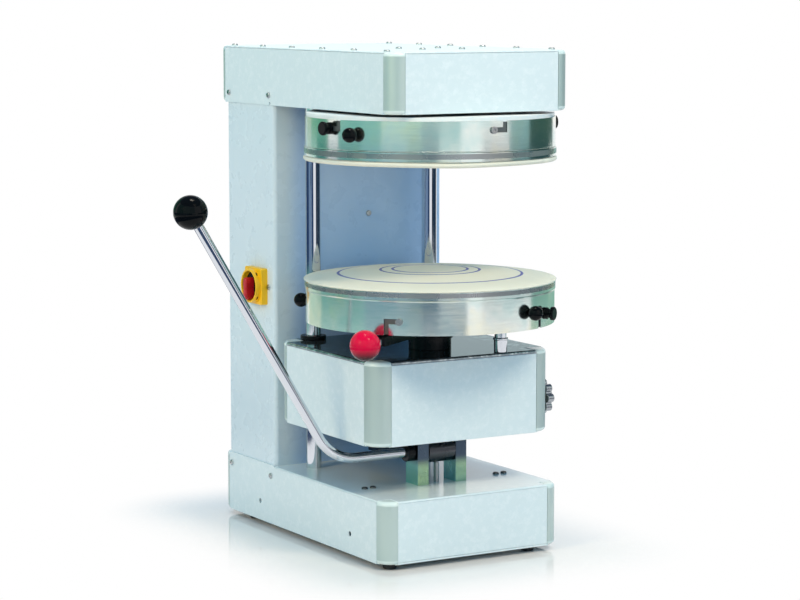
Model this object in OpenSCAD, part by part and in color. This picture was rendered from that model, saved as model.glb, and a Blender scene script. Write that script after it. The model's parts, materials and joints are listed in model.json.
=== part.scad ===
// Pizza dough press: a lever lifts the lower round plate against an upper roller head.
// Millimetres. Floor at z = 0, front towards -Y. Modules are drawn around the plate axis
// (x = 0, y = 0) and place() moves them so that the outline is centred on the origin.

/* [Body] */
// Width across the side panels of base and head
body_w = 323; // [304:1:344]
// Sheet thickness of the panels and the casing
sheet_t = 2; // [1.5:0.1:2.5]
// Outer radius of the corner profiles of base and head
corner_r = 24; // [18:1:28]
// Wall of the corner profiles
profile_wall = 3; // [2:0.5:4]
// Overlap of a corner profile behind its panels
profile_lap = 9; // [6:1:12]
// Rounding on the outer ends of the corner profiles
profile_round = 6; // [2:0.5:8]
// Open joint between neighbouring panels
seam = 0.4; // [0.2:0.1:0.6]
// Height of the rubber feet
foot_h = 9; // [7:0.5:14]
// Diameter of the rubber feet
foot_d = 24; // [18:1:30]

/* [Base] */
// Base front, behind the foremost point of the plates
base_set_back = 67; // [55:1:75]
// Base behind the casing
base_tail = 26; // [20:1:40]
// Height of the base box
base_h = 98.3; // [88:0.1:112]
// Thickness of the base top plate
base_top_t = 3; // [2:0.5:5]
// Thickness of the base bottom plate
base_bottom_t = 3; // [2:0.5:4]
// Diameter of the plain holes low in the base sides
side_hole_d = 8; // [5:0.5:12]
// Height of the plain side holes above the floor
side_hole_z = 41; // [32:1:50]
// Distance between the two plain side holes
side_hole_pitch = 302; // [280:1:320]

/* [Columns and casing] */
// Diameter of the guide columns
column_d = 25; // [22:1:30]
// Column centres, in from the side panels
column_inset = 51.5; // [48:0.5:58]
// Clearance between the covered plates and the columns
column_clear = 1.9; // [1.5:0.1:4]
// Space between the carriage and the casing
casing_space = 19; // [15:1:24]
// Depth of the casing
casing_depth = 160; // [150:1:180]
// Bend radius of the casing corners
casing_bend = 7; // [4:1:12]
// Side clearance between casing and panels
casing_gap = 0.5; // [0.3:0.1:0.8]
// Diameter of the cable inlet in the rear cover
inlet_d = 20; // [16:1:25]

/* [Carriage] */
// Carriage underside above the base top, plates apart
carriage_gap = 80; // [78:1:90]
// Height of the carriage box
carriage_h = 131.9; // [125:0.1:140]
// Carriage front, behind the foremost point of the plates
carriage_set_back = 93.5; // [88:0.5:96]
// Carriage wider than the base, on each side
carriage_over = 2.5; // [0:0.5:4]
// Carriage rear, behind the column centres
carriage_tail = 23; // [22:0.5:28]
// Radius of the carriage corner profiles
carriage_corner_r = 31; // [24:1:34]
// Thickness of the carriage top plate
carriage_top_t = 5; // [4:0.5:8]
// Flange diameter of the column bushes
bush_flange_d = 42; // [38:1:46]
// Flange thickness of the column bushes
bush_flange_t = 7; // [4:1:9]
// Running clearance of columns, shafts and pins, on the radius
run_gap = 0.06; // [0.03:0.01:0.09]

/* [Plates] */
// Diameter of the covered plates
plate_d = 400; // [380:1:410]
// Open height between the rims of the two covers
plate_gap = 185.6; // [170:0.1:190]
// Open height left when the lever is fully down
closed_gap = 5; // [3:0.5:9]
// Sheet thickness of the drum bands and clamp straps
band_t = 1.4; // [1:0.1:1.6]
// Clearance between drum band and plate rim
band_gap = 0.7; // [0.5:0.1:1]
// Underside of the lower band above the carriage top
lower_band_rise = 45.3; // [44:0.1:55]
// Height of the lower drum band
lower_band_h = 53; // [48:1:60]
// Height of the upper drum band
upper_band_h = 47; // [42:1:54]
// Height of the lower clamp strap
strap_h = 12; // [9:0.5:14]
// Height of the upper clamp strap
upper_strap_h = 14; // [11:0.5:16]
// Thickness of the lower cloth cover at its rolled edge
lower_cloth_t = 3; // [2.4:0.1:4]
// Rise of the padded lower cover from its rim to its middle
lower_crown = 14.5; // [8:0.5:16]
// Depth of the padded upper cloth rim
upper_cloth_h = 8.2; // [7:0.1:12]
// Space between the upper drum band and the head
head_gap = 10.4; // [9:0.1:13]

/* [Bayonet fixings] */
// Turn of a band from locked to free, degrees
bayonet_turn = 6; // [5:0.5:7]
// Width of the bayonet slots
slot_w = 8; // [7:0.5:9]
// Diameter of the bayonet pins
pin_d = 6; // [5:0.5:6]
// Head diameter of the bayonet pins
pin_head_d = 11; // [10:0.5:13]
// Ball diameter of the black grip knobs
knob_d = 23; // [19:0.5:26]
// Head diameter of the black thumb knobs
thumb_d = 21.5; // [18:0.5:25]
// Height of the lower pins above the band underside
lower_pin_rise = 21; // [18:1:26]
// Depth of the upper pins below the band top
upper_pin_drop = 13.5; // [11:0.5:18]

/* [Lever and cam] */
// Rod diameter of lever and shaft
rod_d = 16; // [14:0.5:18]
// Shaft height above the base top
shaft_rise = 52.2; // [50:0.1:54]
// Shaft position ahead of the plate axis
shaft_front = 20; // [18:1:22]
// Corner of the lever, left of the middle
lever_corner = 190.6; // [185:0.1:205]
// Lean of the lever arm from upright, degrees
lever_lean = 31; // [25:1:35]
// Bend radius of the lever rod
lever_bend = 75; // [50:1:90]
// Lever corner to the centre of the ball
lever_arm = 462; // [420:1:490]
// Diameter of the lever ball
lever_ball_d = 52; // [45:1:58]
// Lever swing from plates apart to plates closed, degrees
lever_swing = 95; // [90:1:100]
// Roller centre above the shaft, plates apart
cam_start = 56; // [54:1:58]
// Cam roller diameter
roller_d = 32; // [28:1:34]
// Cam thickness
cam_t = 14; // [10:1:18]
// Clearance between cam and roller
cam_gap = 0.3; // [0.2:0.1:0.5]
// Thickness of a pivot cheek
cheek_t = 20; // [16:1:24]
// Depth of a pivot cheek
cheek_w = 37; // [34:1:42]
// Clear distance between the cheeks
cheek_space = 50; // [48:1:54]

/* [Thickness adjuster] */
// Diameter of the adjuster hub
hub_d = 68; // [62:1:74]
// Direction of the adjuster arm at rest, degrees
adjuster_angle = -146; // [-152:1:-140]
// Swing of the adjuster to either side, degrees
adjuster_swing = 20; // [10:1:22]
// Diameter of the red ball
adjuster_ball_d = 47; // [42:1:48]
// Clearance between the lower drum band and the red ball
adjuster_clear = 12.4; // [8:0.1:20]
// Bare length of the adjuster rod between arm and ball
adjuster_bare = 23.5; // [18:0.5:30]
// Plate rise for one full turn of the adjuster
adjuster_lead = 24; // [12:1:30]
// Diameter of the plate guide posts
post_d = 21; // [18:1:24]
// Guide posts, left and right of the plate axis
post_x = 72.4; // [60:0.1:90]
// Front guide post centre, in from the carriage front
post_in = 12; // [12:0.5:25]

/* [Head and drive] */
// Head front, behind the foremost point of the plates
head_set_back = 45; // [35:1:50]
// Head behind the casing
head_tail = 31; // [26:1:45]
// Height of the head box
head_h = 93.5; // [90:0.1:105]
// Thickness of the head floor plate
head_floor_t = 5; // [4:0.5:6]
// Thickness of the top cover
top_cover_t = 2.5; // [2:0.5:3]
// Diameter of the roller head spindle
spindle_d = 30; // [26:1:32]
// Diameter of the press rollers
press_roller_d = 24; // [20:1:26]
// Radius of the two belt pulleys
pulley_r = 45; // [38:1:48]
// Motor centre, behind the casing front
motor_in = 80; // [76:1:84]
// Motor diameter
motor_d = 126; // [110:1:130]
// Motor length
motor_h = 190; // [160:1:220]

/* [Switch and side knob] */
// Side of the square switch body
switch_w = 60; // [54:1:66]
// Switch centre, behind the casing front
switch_in = 54; // [46:1:64]
// Switch centre above the floor
switch_z = 401; // [380:1:420]
// Diameter of the lobed side knob
side_knob_d = 56; // [48:1:60]
// Side knob centre, behind the carriage front
side_knob_in = 42.5; // [40:0.5:56]
// Side knob centre above the carriage underside
side_knob_z = 49; // [42:1:66]

/* [Hidden] */
$fn = 96;

panel_colour = [0.86, 0.90, 0.91];
profile_colour = [0.69, 0.74, 0.72];
casing_colour = [0.80, 0.86, 0.90];
zinc_colour = [0.72, 0.73, 0.62];
steel_colour = [0.62, 0.65, 0.66];
chrome_colour = [0.82, 0.84, 0.86];
black_colour = [0.06, 0.06, 0.07];
cloth_colour = [0.90, 0.88, 0.78];
red_colour = [0.85, 0.08, 0.20];
yellow_colour = [0.95, 0.75, 0.10];

// Fixed small sizes
fit_gap = 0.1;
turn_gap = 0.3;
screw_d = 5;
screw_head_d = 9.5;
screw_head_h = 3;
socket_head_d = 10;
socket_head_h = 5;
socket_d = 6;
key_d = 5;
edge = 1;
over = 20;

// Widths
half_w = body_w / 2;
inner_w = half_w - sheet_t;
carriage_half = half_w + carriage_over;

// Radii of the drums
cloth_lap = 5;
rim_r = plate_d / 2 - cloth_lap;
band_r = rim_r + band_gap;
band_out = band_r + band_t;
strap_lap = 2;
strap_r = rim_r + strap_lap;
rim_wall = 8;
knob_neck = 0.5;
knob_r = band_out + knob_d / 2 + knob_neck;
thumb_gap = 0.5;
thumb_collar = 3.4;
thumb_neck = 5.8;
thumb_head = 6;
thumb_end = band_out + thumb_gap + thumb_collar + thumb_neck + thumb_head;

// Places ahead of the plate axis
base_front = plate_d / 2 - base_set_back;
carriage_front = plate_d / 2 - carriage_set_back;
head_front = plate_d / 2 - head_set_back;
side_knob_y = carriage_front - side_knob_in;

// Places behind the plate axis, from the plate back to the rear of the head
column_x = half_w - column_inset;
column_y = sqrt(pow(plate_d / 2 + column_d / 2 + column_clear, 2) - pow(column_x, 2));
carriage_rear = column_y + carriage_tail;
knob_clear = 2;
casing_front = max(carriage_rear + casing_space, knob_r + knob_d / 2 + knob_clear);
casing_rear = casing_front + casing_depth;
base_rear = casing_rear + base_tail;
head_rear = casing_rear + head_tail;
motor_y = casing_front + motor_in;
switch_y = casing_front + switch_in;

// Heights
base_z = foot_h;
base_top = base_z + base_h;
carriage_z = base_top + carriage_gap;
carriage_top = carriage_z + carriage_h;
shaft_z = base_top + shaft_rise;
lower_band_z = carriage_top + lower_band_rise;
lower_band_top = lower_band_z + lower_band_h;
lower_cloth_z = lower_band_top + strap_h + 2 * turn_gap;
lower_face = lower_cloth_z + lower_cloth_t;
upper_face = lower_face + plate_gap;
upper_strap_z = upper_face + upper_cloth_h;
upper_band_z = upper_strap_z + upper_strap_h;
upper_band_top = upper_band_z + upper_band_h;
head_z = upper_band_top + head_gap;
head_top = head_z + head_h;
head_floor_top = head_z + head_floor_t;
cover_z = head_top - top_cover_t;
casing_half = inner_w - casing_gap;
casing_inner = casing_half - sheet_t;
lift = plate_gap - lower_crown - closed_gap;

// Directions of the bayonet pins and of the knobs on the bands
lower_pins_at = [-134.9, 41.5];
lower_knob_pins_at = [-55.9, 92];
lower_knobs_at = [-70.5, 139];
upper_pins_at = [-92.3, 87.7];
upper_knob_pins_at = [-172.2, -12.4];
upper_knobs_at = [-156.8, 23.2];
lower_pin_z = lower_band_z + lower_pin_rise;
upper_pin_z = upper_band_top - upper_pin_drop;
lower_knob_up = 6;
upper_knob_down = 8;
lower_knob_z = lower_pin_z + lower_knob_up;
upper_knob_z = upper_pin_z - upper_knob_down;

// Lever
lever_tangent = lever_bend * tan((90 - lever_lean) / 2);
lever_bend_x = lever_tangent - lever_corner;
ball_x = -lever_corner - lever_arm * sin(lever_lean);
ball_z = shaft_z + lever_arm * cos(lever_lean);
shaft_out = 6;
shaft_end = cheek_space / 2 + cheek_t + shaft_out;
collar_w = 13;
collar_wall = 7;
hub_r = 20;
ball_cover = 8;

// Cam: the roller centre rises evenly with the lever turn
cam_rate = lift / lever_swing;
cam_rate_rad = cam_rate * 180 / PI;
cam_offset = roller_d / 2 + cam_gap;
cam_step = 2;
function cam_rho(a) = cam_start + cam_rate * a;
function cam_norm(a) = sqrt(pow(cam_rho(a), 2) + pow(cam_rate_rad, 2));
function cam_in(a) = cam_rho(a) - cam_offset * cam_rho(a) / cam_norm(a);
function cam_on(a) = cam_offset * cam_rate_rad / cam_norm(a);
function cam_point(a) = [cam_in(a) * sin(a) + cam_on(a) * cos(a),
  cam_in(a) * cos(a) - cam_on(a) * sin(a)];
cam_tip = cam_point(lever_swing);

// Adjuster
arm_rise = 33;
arm_z = carriage_top + arm_rise;
arm_h = 14;
arm_w = 20;
adjuster_reach = band_out + adjuster_clear + adjuster_ball_d / 2;
arm_reach = adjuster_reach - adjuster_ball_d / 2 - adjuster_bare;
arm_rod_d = 10;
arm_rod_in = 22;
stem_d = 40;
hub_drop = 4;
hub_z = carriage_top + turn_gap;
hub_top = lower_band_z - hub_drop;

// Roller head
roller_rise = 6;
roller_z = upper_face + roller_rise + press_roller_d / 2;
disc_over = 6;
disc_z = roller_z + press_roller_d / 2 + disc_over;
disc_t = 8;
disc_gap = 4;
disc_r = rim_r - rim_wall - disc_gap;
hanger = 10;
hanger_w = 16;
hanger_in = 3;
roller_out = disc_r - hanger_in - hanger;
roller_l = 108;
roller_in = roller_out - roller_l;
axle_d = 8;
pulley_rise = 44;
pulley_z = head_floor_top + pulley_rise;
pulley_h = 14;
spindle_over = 4;
spindle_top = pulley_z + pulley_h + spindle_over;
pan_over = 6;
pan_top = upper_band_top + pan_over;
pan_t = 6;

// Outline, for the shift that centres it
knob_tip = knob_d / 2;
thumb_tip = thumb_d / 2;
ball_knobs_at = concat(lower_knobs_at, upper_knobs_at);
thumb_knobs_at = concat(lower_knob_pins_at, upper_knob_pins_at);
right_end = max(concat([for (a = ball_knobs_at) knob_r * cos(a) + knob_tip],
  [for (a = thumb_knobs_at) thumb_end * cos(a) + thumb_tip * abs(sin(a))], [plate_d / 2]));
front_end = max(concat([for (a = ball_knobs_at) knob_tip - knob_r * sin(a)],
  [for (a = thumb_knobs_at) thumb_tip * abs(cos(a)) - thumb_end * sin(a)],
  [plate_d / 2, adjuster_ball_d / 2 - adjuster_reach * sin(adjuster_angle)]));
left_end = lever_ball_d / 2 - ball_x;
rear_end = head_rear;
shift = [(left_end - right_end) / 2, (front_end - rear_end) / 2, 0];

module place() {
  translate(shift) children();
}

// Flat plate of half width half from y0 to y1, cut out at the corners for corner profiles of
// radius r0 at the front and r1 at the rear
module notched_outline(half, y0, y1, r0, r1) {
  n0 = r0 + seam;
  n1 = r1 > 0 ? r1 + seam : 0;
  translate([-half, y0 + n0]) square([2 * half, y1 - y0 - n0 - n1]);
  translate([-half + n0, y0]) square([2 * (half - n0), y1 - y0 - n1]);
  if (n1 > 0) translate([-half + n1, y0 + n0]) square([2 * (half - n1), y1 - y0 - n0]);
}

// Plate from y0 to y1 with rounded corners of radius r at the front only
module front_outline(half, y0, y1, r) {
  translate([-half + r, y0]) square([2 * (half - r), y1 - y0]);
  translate([-half, y0 + r]) square([2 * half, y1 - y0 - r]);
  for (x = [-half + r, half - r]) translate([x, y0 + r]) circle(r);
}

// Quarter round corner profile, closed at its ends, with a lap of height lap_h behind the
// cross panel and, where asked for, one behind the side panel
module corner_profile(r, h, lap_h, side_lap) {
  rotate_extrude(angle = 90) difference() {
    square([r, h]);
    translate([0, profile_wall]) square([r - profile_wall, h - 2 * profile_wall]);
    for (z = [0, h]) translate([r, z]) difference() {
      translate([-profile_round, -profile_round]) square(2 * profile_round);
      translate([-profile_round, z == 0 ? profile_round : -profile_round]) circle(profile_round);
    }
  }
  lap_in = r - sheet_t - profile_wall;
  lap = profile_lap + profile_wall;
  translate([-profile_lap, lap_in, 0]) cube([lap, profile_wall, lap_h]);
  if (side_lap) translate([lap_in, -profile_lap, 0]) cube([profile_wall, lap, lap_h]);
}

// The four corner profiles of a box from y0 to y1; only the carriage has side laps at its rear
module corner_profiles(half, y0, y1, r, z, h, lap_h, rear_lap) {
  for (side = [0, 1]) mirror([side, 0, 0]) {
    translate([half - r, y1 - r, z]) corner_profile(r, h, lap_h, rear_lap);
    translate([half - r, y0 + r, z]) mirror([0, 1, 0]) corner_profile(r, h, lap_h, true);
  }
}

// Flat sheet across the width, between the corner profiles
module cross_panel(half, y, r, z, h) {
  translate([-half + r + seam, y, z]) cube([2 * (half - r - seam), sheet_t, h]);
}

// Bore along X for a side screw, at height z
module side_bore(y, z, d) {
  translate([-half_w - over, y, z]) rotate([0, 90, 0]) cylinder(d = d, h = body_w + 2 * over);
}

// Screws of the side panels: [y, z]
screw_in = 8;
screw_edge = 4;
screw_front_in = casing_bend + screw_edge;
base_screw_drop = 18;
head_screw_rise = 16;
base_screw_z = base_top - base_screw_drop;
head_screw_z = head_z + head_screw_rise;
base_screws = [[casing_front + screw_front_in, base_screw_z], [casing_rear - screw_in, base_screw_z]];
head_screws = [[casing_front + screw_front_in, head_screw_z], [casing_rear - screw_in, head_screw_z]];
side_screws = concat(base_screws, head_screws);
switch_screw_gap = 5.5;
switch_screw = [switch_y - switch_w / 2 - switch_screw_gap, switch_z];
rear_screw_in = 16;
rear_screw_end = 60;
rear_screw_x = casing_half - rear_screw_in;
rear_screw_z = [base_top + rear_screw_end, (base_top + head_z) / 2, head_z - rear_screw_end];
casing_screw_x = 18;
casing_screw_drop = 182;
casing_screw = [casing_screw_x, head_z - casing_screw_drop];

// Socket screws of the base top and of the head cover: [x, y]
beam_screw_inset = 39.5;
beam_screw_pitch = 15;
beam_screw_back = 3;
cover_screw_in = 13;
cover_screw_end = 36;
cover_screw_gaps = 5;
housing_screw_in = 36;
beam_screws = [for (s = [-1, 1], d = [-0.5, 0.5])
  [s * (half_w - beam_screw_inset) + d * beam_screw_pitch, beam_screw_back - shaft_front]];
cover_screw_pitch = (head_rear + head_front - 2 * cover_screw_end) / cover_screw_gaps;
cover_screws = concat(
  [for (s = [-1, 1], k = [0:cover_screw_gaps]) [s * (half_w - cover_screw_in),
    cover_screw_end - head_front + k * cover_screw_pitch]],
  [for (s = [-1, 1], t = [-1, 1]) [s * housing_screw_in, t * housing_screw_in]]);

module base_top_plate() {
  color(panel_colour) place() difference() {
    translate([0, 0, base_top - base_top_t]) linear_extrude(base_top_t)
      notched_outline(half_w, -base_front, casing_front - seam, corner_r, 0);
    for (x = [-column_x, column_x]) translate([x, column_y, base_top - over])
      cylinder(d = column_d + 2 * fit_gap, h = 2 * over);
    for (p = beam_screws) translate([p[0], p[1], base_top - over])
      cylinder(d = socket_d + 2 * fit_gap, h = 2 * over);
    translate([0, -shaft_front, base_top - over]) cylinder(d = stop_d + 2 * fit_gap, h = 2 * over);
  }
}

base_panel_h = base_h - base_top_t - seam;
bottom_lip = base_bottom_t + seam;
side_hole_in = 50;
side_holes = [casing_front + side_hole_in - side_hole_pitch, casing_front + side_hole_in];

module base_front_panel() {
  color(panel_colour) place()
    cross_panel(half_w, -base_front, corner_r, base_z + bottom_lip, base_panel_h - bottom_lip);
}

module base_side_panels() {
  y0 = corner_r + seam - base_front;
  y1 = base_rear - corner_r - seam;
  color(panel_colour) place() difference() {
    for (side = [0, 1]) mirror([side, 0, 0]) {
      translate([inner_w, y0, base_z]) cube([sheet_t, y1 - y0, base_panel_h]);
      translate([inner_w, casing_front, base_z]) cube([sheet_t, y1 - casing_front, base_h]);
    }
    for (p = base_screws) side_bore(p[0], p[1], screw_d + 2 * fit_gap);
    for (y = side_holes) side_bore(y, side_hole_z, side_hole_d);
  }
}

module base_rear_panel() {
  color(panel_colour) place() {
    cross_panel(half_w, base_rear - sheet_t, corner_r, base_z + bottom_lip, base_h - bottom_lip);
    translate([-half_w + corner_r + profile_lap + seam, casing_rear + seam, base_top - sheet_t])
      cube([body_w - 2 * (corner_r + profile_lap + seam), base_rear - casing_rear - seam, sheet_t]);
  }
}

bottom_in = corner_r + profile_wall + profile_lap;

// Bottom plate between the side panels, with lips that show under the front and rear panels
module base_bottom_plate() {
  inside = inner_w - profile_wall - seam;
  middle = half_w - bottom_in;
  lip = half_w - corner_r - seam;
  color(panel_colour) place() translate([0, 0, base_z]) linear_extrude(base_bottom_t) {
    translate([-inside, bottom_in - base_front])
      square([2 * inside, base_front + base_rear - 2 * bottom_in]);
    translate([-middle, -base_front]) square([2 * middle, base_front + base_rear]);
    for (y = [-base_front, base_rear - sheet_t]) translate([-lip, y]) square([2 * lip, sheet_t]);
  }
}

module base_corner_profiles() {
  color(profile_colour) place() corner_profiles(half_w, -base_front, base_rear, corner_r, base_z,
    base_h, base_panel_h, false);
}

foot_in = 22;
foot_right_in = 48;
foot_rear_in = 80;
foot_taper = 3;
foot_xs = [foot_in - half_w, half_w - foot_right_in];
foot_ys = [foot_in - base_front, base_rear - foot_rear_in];

module rubber_feet() {
  tread = foot_d / 2 - foot_taper;
  color(black_colour) place() for (x = foot_xs, y = foot_ys)
    translate([x, y, 0]) rotate_extrude() polygon([[0, 0], [tread, 0],
      [tread + edge, edge], [foot_d / 2, foot_h], [0, foot_h]]);
}

beam_h = 22;
beam_w = 46;
beam_end = 20;
beam_ahead = 20;
beam_thread = 14;
stop_d = 8;
stop_gap = 1;

// Steel bar under the base top, with the stop post for the cam hub
module pivot_beam() {
  beam_z = base_top - base_top_t - beam_h;
  color(steel_colour) place() difference() {
    union() {
      translate([-half_w + beam_end, -shaft_front - beam_ahead, beam_z])
        cube([body_w - 2 * beam_end, beam_w, beam_h]);
      translate([0, -shaft_front, beam_z + beam_h - edge])
        cylinder(d = stop_d, h = shaft_z - hub_r - stop_gap - beam_z - beam_h + edge);
    }
    for (p = beam_screws) translate([p[0], p[1], beam_z + beam_h - beam_thread])
      cylinder(d = socket_d + 2 * fit_gap, h = beam_h);
  }
}

cheek_top = 23.5;

module pivot_cheeks() {
  color(zinc_colour) place() for (side = [0, 1]) mirror([side, 0, 0]) difference() {
    translate([cheek_space / 2, -shaft_front - cheek_w / 2, base_top])
      cube([cheek_t, cheek_w, shaft_rise + cheek_top]);
    translate([cheek_space / 2 - over, -shaft_front, shaft_z]) rotate([0, 90, 0])
      cylinder(d = rod_d + 2 * run_gap, h = cheek_t + 2 * over);
  }
}

column_over = 14;

module guide_columns() {
  column_z = base_z + base_bottom_t;
  color(chrome_colour) place() for (x = [-column_x, column_x])
    translate([x, column_y, column_z]) cylinder(d = column_d, h = head_floor_top + column_over - column_z);
}

casing_z = base_z + base_bottom_t + seam;
casing_tab = 34;
inlet_rise = 45;

module casing_shell() {
  color(casing_colour) place() difference() {
    union() {
      translate([0, 0, casing_z]) linear_extrude(head_z - seam - casing_z) difference() {
        front_outline(casing_half, casing_front, casing_rear - sheet_t - seam, casing_bend);
        front_outline(casing_inner, casing_front + sheet_t, casing_rear + over,
          casing_bend - sheet_t);
      }
      for (side = [0, 1]) mirror([side, 0, 0])
        translate([casing_inner, casing_front + casing_bend, head_z - over])
          cube([sheet_t, casing_depth - casing_bend - sheet_t - 2 * seam, over + casing_tab]);
    }
    for (p = side_screws) side_bore(p[0], p[1], screw_d + 2 * fit_gap);
    side_bore(side_holes[1], side_hole_z, side_hole_d);
    translate([-casing_half - over, switch_screw[0], switch_screw[1]]) rotate([0, 90, 0])
      cylinder(d = screw_d + 2 * fit_gap, h = 2 * over);
    translate([-casing_half - over, switch_y, switch_z]) rotate([0, 90, 0])
      cylinder(d = switch_neck_d + 2 * fit_gap, h = 2 * over);
    translate([casing_screw[0], casing_front - over, casing_screw[1]]) rotate([-90, 0, 0])
      cylinder(d = screw_d + 2 * fit_gap, h = 2 * over);
  }
}

module casing_rear_cover() {
  color(casing_colour) place() difference() {
    translate([-casing_half, casing_rear - sheet_t, casing_z])
      cube([2 * casing_half, sheet_t, head_z - seam - casing_z]);
    for (s = [-1, 1], z = rear_screw_z) translate([s * rear_screw_x, casing_rear - over, z])
      rotate([-90, 0, 0]) cylinder(d = screw_d + 2 * fit_gap, h = 2 * over);
    translate([0, casing_rear - over, base_top + inlet_rise]) rotate([-90, 0, 0])
      cylinder(d = inlet_d, h = 2 * over);
  }
}

screw_l = 7;
screw_crown = 8;
screw_slot = 1.2;

// Pan head screw: head on z = 0, shank downwards
module pan_screw() {
  difference() {
    union() {
      rotate_extrude() intersection() {
        square([screw_head_d / 2, screw_head_h]);
        translate([0, screw_head_h - screw_crown]) circle(screw_crown);
      }
      translate([0, 0, -screw_l]) cylinder(d = screw_d, h = screw_l + edge);
    }
    translate([-screw_slot / 2, -screw_head_d, screw_head_h - screw_slot])
      cube([screw_slot, 2 * screw_head_d, 2 * screw_slot]);
  }
}

module panel_screws() {
  head_at = half_w + fit_gap / 2;
  color(chrome_colour) place() {
    for (side = [0, 1]) mirror([side, 0, 0]) for (p = side_screws)
      translate([-head_at, p[0], p[1]]) rotate([0, -90, 0]) pan_screw();
    translate([-casing_half - fit_gap / 2, switch_screw[0], switch_screw[1]]) rotate([0, -90, 0])
      pan_screw();
    for (s = [-1, 1], z = rear_screw_z) translate([s * rear_screw_x, casing_rear + fit_gap / 2, z])
      rotate([-90, 0, 0]) pan_screw();
    translate([casing_screw[0], casing_front - fit_gap / 2, casing_screw[1]]) rotate([90, 0, 0])
      pan_screw();
  }
}

beam_screw_l = 15;
cover_screw_l = 8;
cover_head_h = 3;
key_floor = 1.2;

// Socket screw: head on z = 0, shank downwards
module socket_screw(head_h, shank) {
  difference() {
    union() {
      cylinder(d = socket_head_d, h = head_h);
      translate([0, 0, -shank]) cylinder(d = socket_d, h = shank + edge);
    }
    translate([0, 0, key_floor]) cylinder(d = key_d, h = head_h, $fn = 6);
  }
}

module socket_screws() {
  color(black_colour) place() {
    for (p = beam_screws) translate([p[0], p[1], base_top]) socket_screw(socket_head_h, beam_screw_l);
    for (p = cover_screws) translate([p[0], p[1], head_top]) socket_screw(cover_head_h, cover_screw_l);
  }
}

module head_floor_plate() {
  color(steel_colour) place() difference() {
    translate([0, 0, head_z]) linear_extrude(head_floor_t) difference() {
      union() {
        translate([-half_w + corner_r + profile_lap, -head_front + sheet_t + profile_wall + seam])
          square([body_w - 2 * (corner_r + profile_lap), casing_front + head_front
            - sheet_t - profile_wall - 2 * seam]);
        translate([-inner_w + profile_wall + seam, -head_front + corner_r + profile_lap])
          square([2 * (inner_w - profile_wall - seam),
            casing_front + head_front - corner_r - profile_lap - seam]);
        translate([-casing_inner + 2 * seam, 0])
          square([2 * casing_inner - 4 * seam, casing_rear - sheet_t - seam]);
      }
      circle(d = housing_d + 2 * fit_gap);
      translate([0, motor_y]) circle(d = boss_d + 2 * fit_gap);
      for (x = [-column_x, column_x]) translate([x, column_y]) circle(d = column_d + 2 * fit_gap);
    }
  }
}

head_panel_h = head_h - top_cover_t - seam;

module head_front_panel() {
  color(panel_colour) place() cross_panel(half_w, -head_front, corner_r, head_z, head_panel_h);
}

notch = 5;

module head_side_panels() {
  y0 = corner_r + seam - head_front;
  y1 = head_rear - corner_r - seam;
  color(panel_colour) place() difference() {
    for (side = [0, 1]) mirror([side, 0, 0])
      translate([inner_w, y0, head_z]) cube([sheet_t, y1 - y0, head_panel_h]);
    for (p = head_screws) side_bore(p[0], p[1], screw_d + 2 * fit_gap);
    translate([-half_w - over, casing_front + notch, head_z - notch])
      cube([body_w + 2 * over, notch, 2 * notch]);
  }
}

module head_rear_panel() {
  color(panel_colour) place() {
    cross_panel(half_w, head_rear - sheet_t, corner_r, head_z, head_panel_h);
    translate([-half_w + corner_r + profile_lap + seam, casing_rear + seam, head_z])
      cube([body_w - 2 * (corner_r + profile_lap + seam), head_rear - casing_rear - seam, sheet_t]);
  }
}

module head_corner_profiles() {
  color(profile_colour) place()
    corner_profiles(half_w, -head_front, head_rear, corner_r, head_z, head_h, head_panel_h, false);
}

module head_top_cover() {
  color(panel_colour) place() difference() {
    translate([0, 0, cover_z]) linear_extrude(top_cover_t)
      notched_outline(half_w, -head_front, head_rear, corner_r, corner_r);
    for (p = cover_screws) translate([p[0], p[1], cover_z - over])
      cylinder(d = socket_d + 2 * fit_gap, h = 2 * over);
  }
}

pin_floor = 2;
pin_head_h = 3;
pin_head_gap = 0.5;
pin_r = rim_r - rim_wall + pin_floor;

// Pin seated in a rim at radius pin_r, with its head outside the band
module bayonet_pin(a, z) {
  head_at = band_out - pin_r + pin_head_gap;
  rotate([0, 0, a]) translate([pin_r, 0, z]) rotate([0, 90, 0]) {
    cylinder(d = pin_d, h = head_at + edge);
    translate([0, 0, head_at]) difference() {
      cylinder(d = pin_head_d, h = pin_head_h);
      translate([0, 0, key_floor]) cylinder(d = key_d, h = pin_head_h, $fn = 6);
    }
  }
}

// Hole for a pin shank in a rim
module pin_bore(a, z) {
  rotate([0, 0, a]) translate([pin_r - fit_gap, 0, z]) rotate([0, 90, 0])
    cylinder(d = pin_d + 2 * fit_gap, h = over);
}

// Ball knob on a stem that starts outside the band
module ball_knob(a, z) {
  r0 = band_out + fit_gap;
  rotate([0, 0, a]) translate([r0, 0, z]) rotate([0, 90, 0]) {
    cylinder(d = pin_d, h = knob_r - r0);
    translate([0, 0, knob_r - r0]) sphere(d = knob_d);
  }
}

thumb_collar_d = 18.5;
thumb_neck_d = 14;
thumb_round = 2;

// Thumb knob on a pin seated in a rim: collar, neck and a head with rounded edges
module thumb_knob(a, z) {
  collar_at = band_out + thumb_gap - pin_r;
  neck_at = collar_at + thumb_collar;
  head_at = neck_at + thumb_neck;
  end = head_at + thumb_head;
  r = thumb_d / 2;
  rotate([0, 0, a]) translate([pin_r, 0, z]) rotate([0, 90, 0]) rotate_extrude() {
    square([pin_d / 2, end]);
    translate([0, collar_at]) square([thumb_collar_d / 2, thumb_collar]);
    translate([0, collar_at]) square([thumb_neck_d / 2, end - collar_at]);
    translate([0, head_at]) square([r - thumb_round, thumb_head]);
    translate([0, head_at + thumb_round]) square([r, thumb_head - 2 * thumb_round]);
    for (h = [head_at + thumb_round, end - thumb_round]) translate([r - thumb_round, h]) circle(thumb_round);
  }
}

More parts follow.
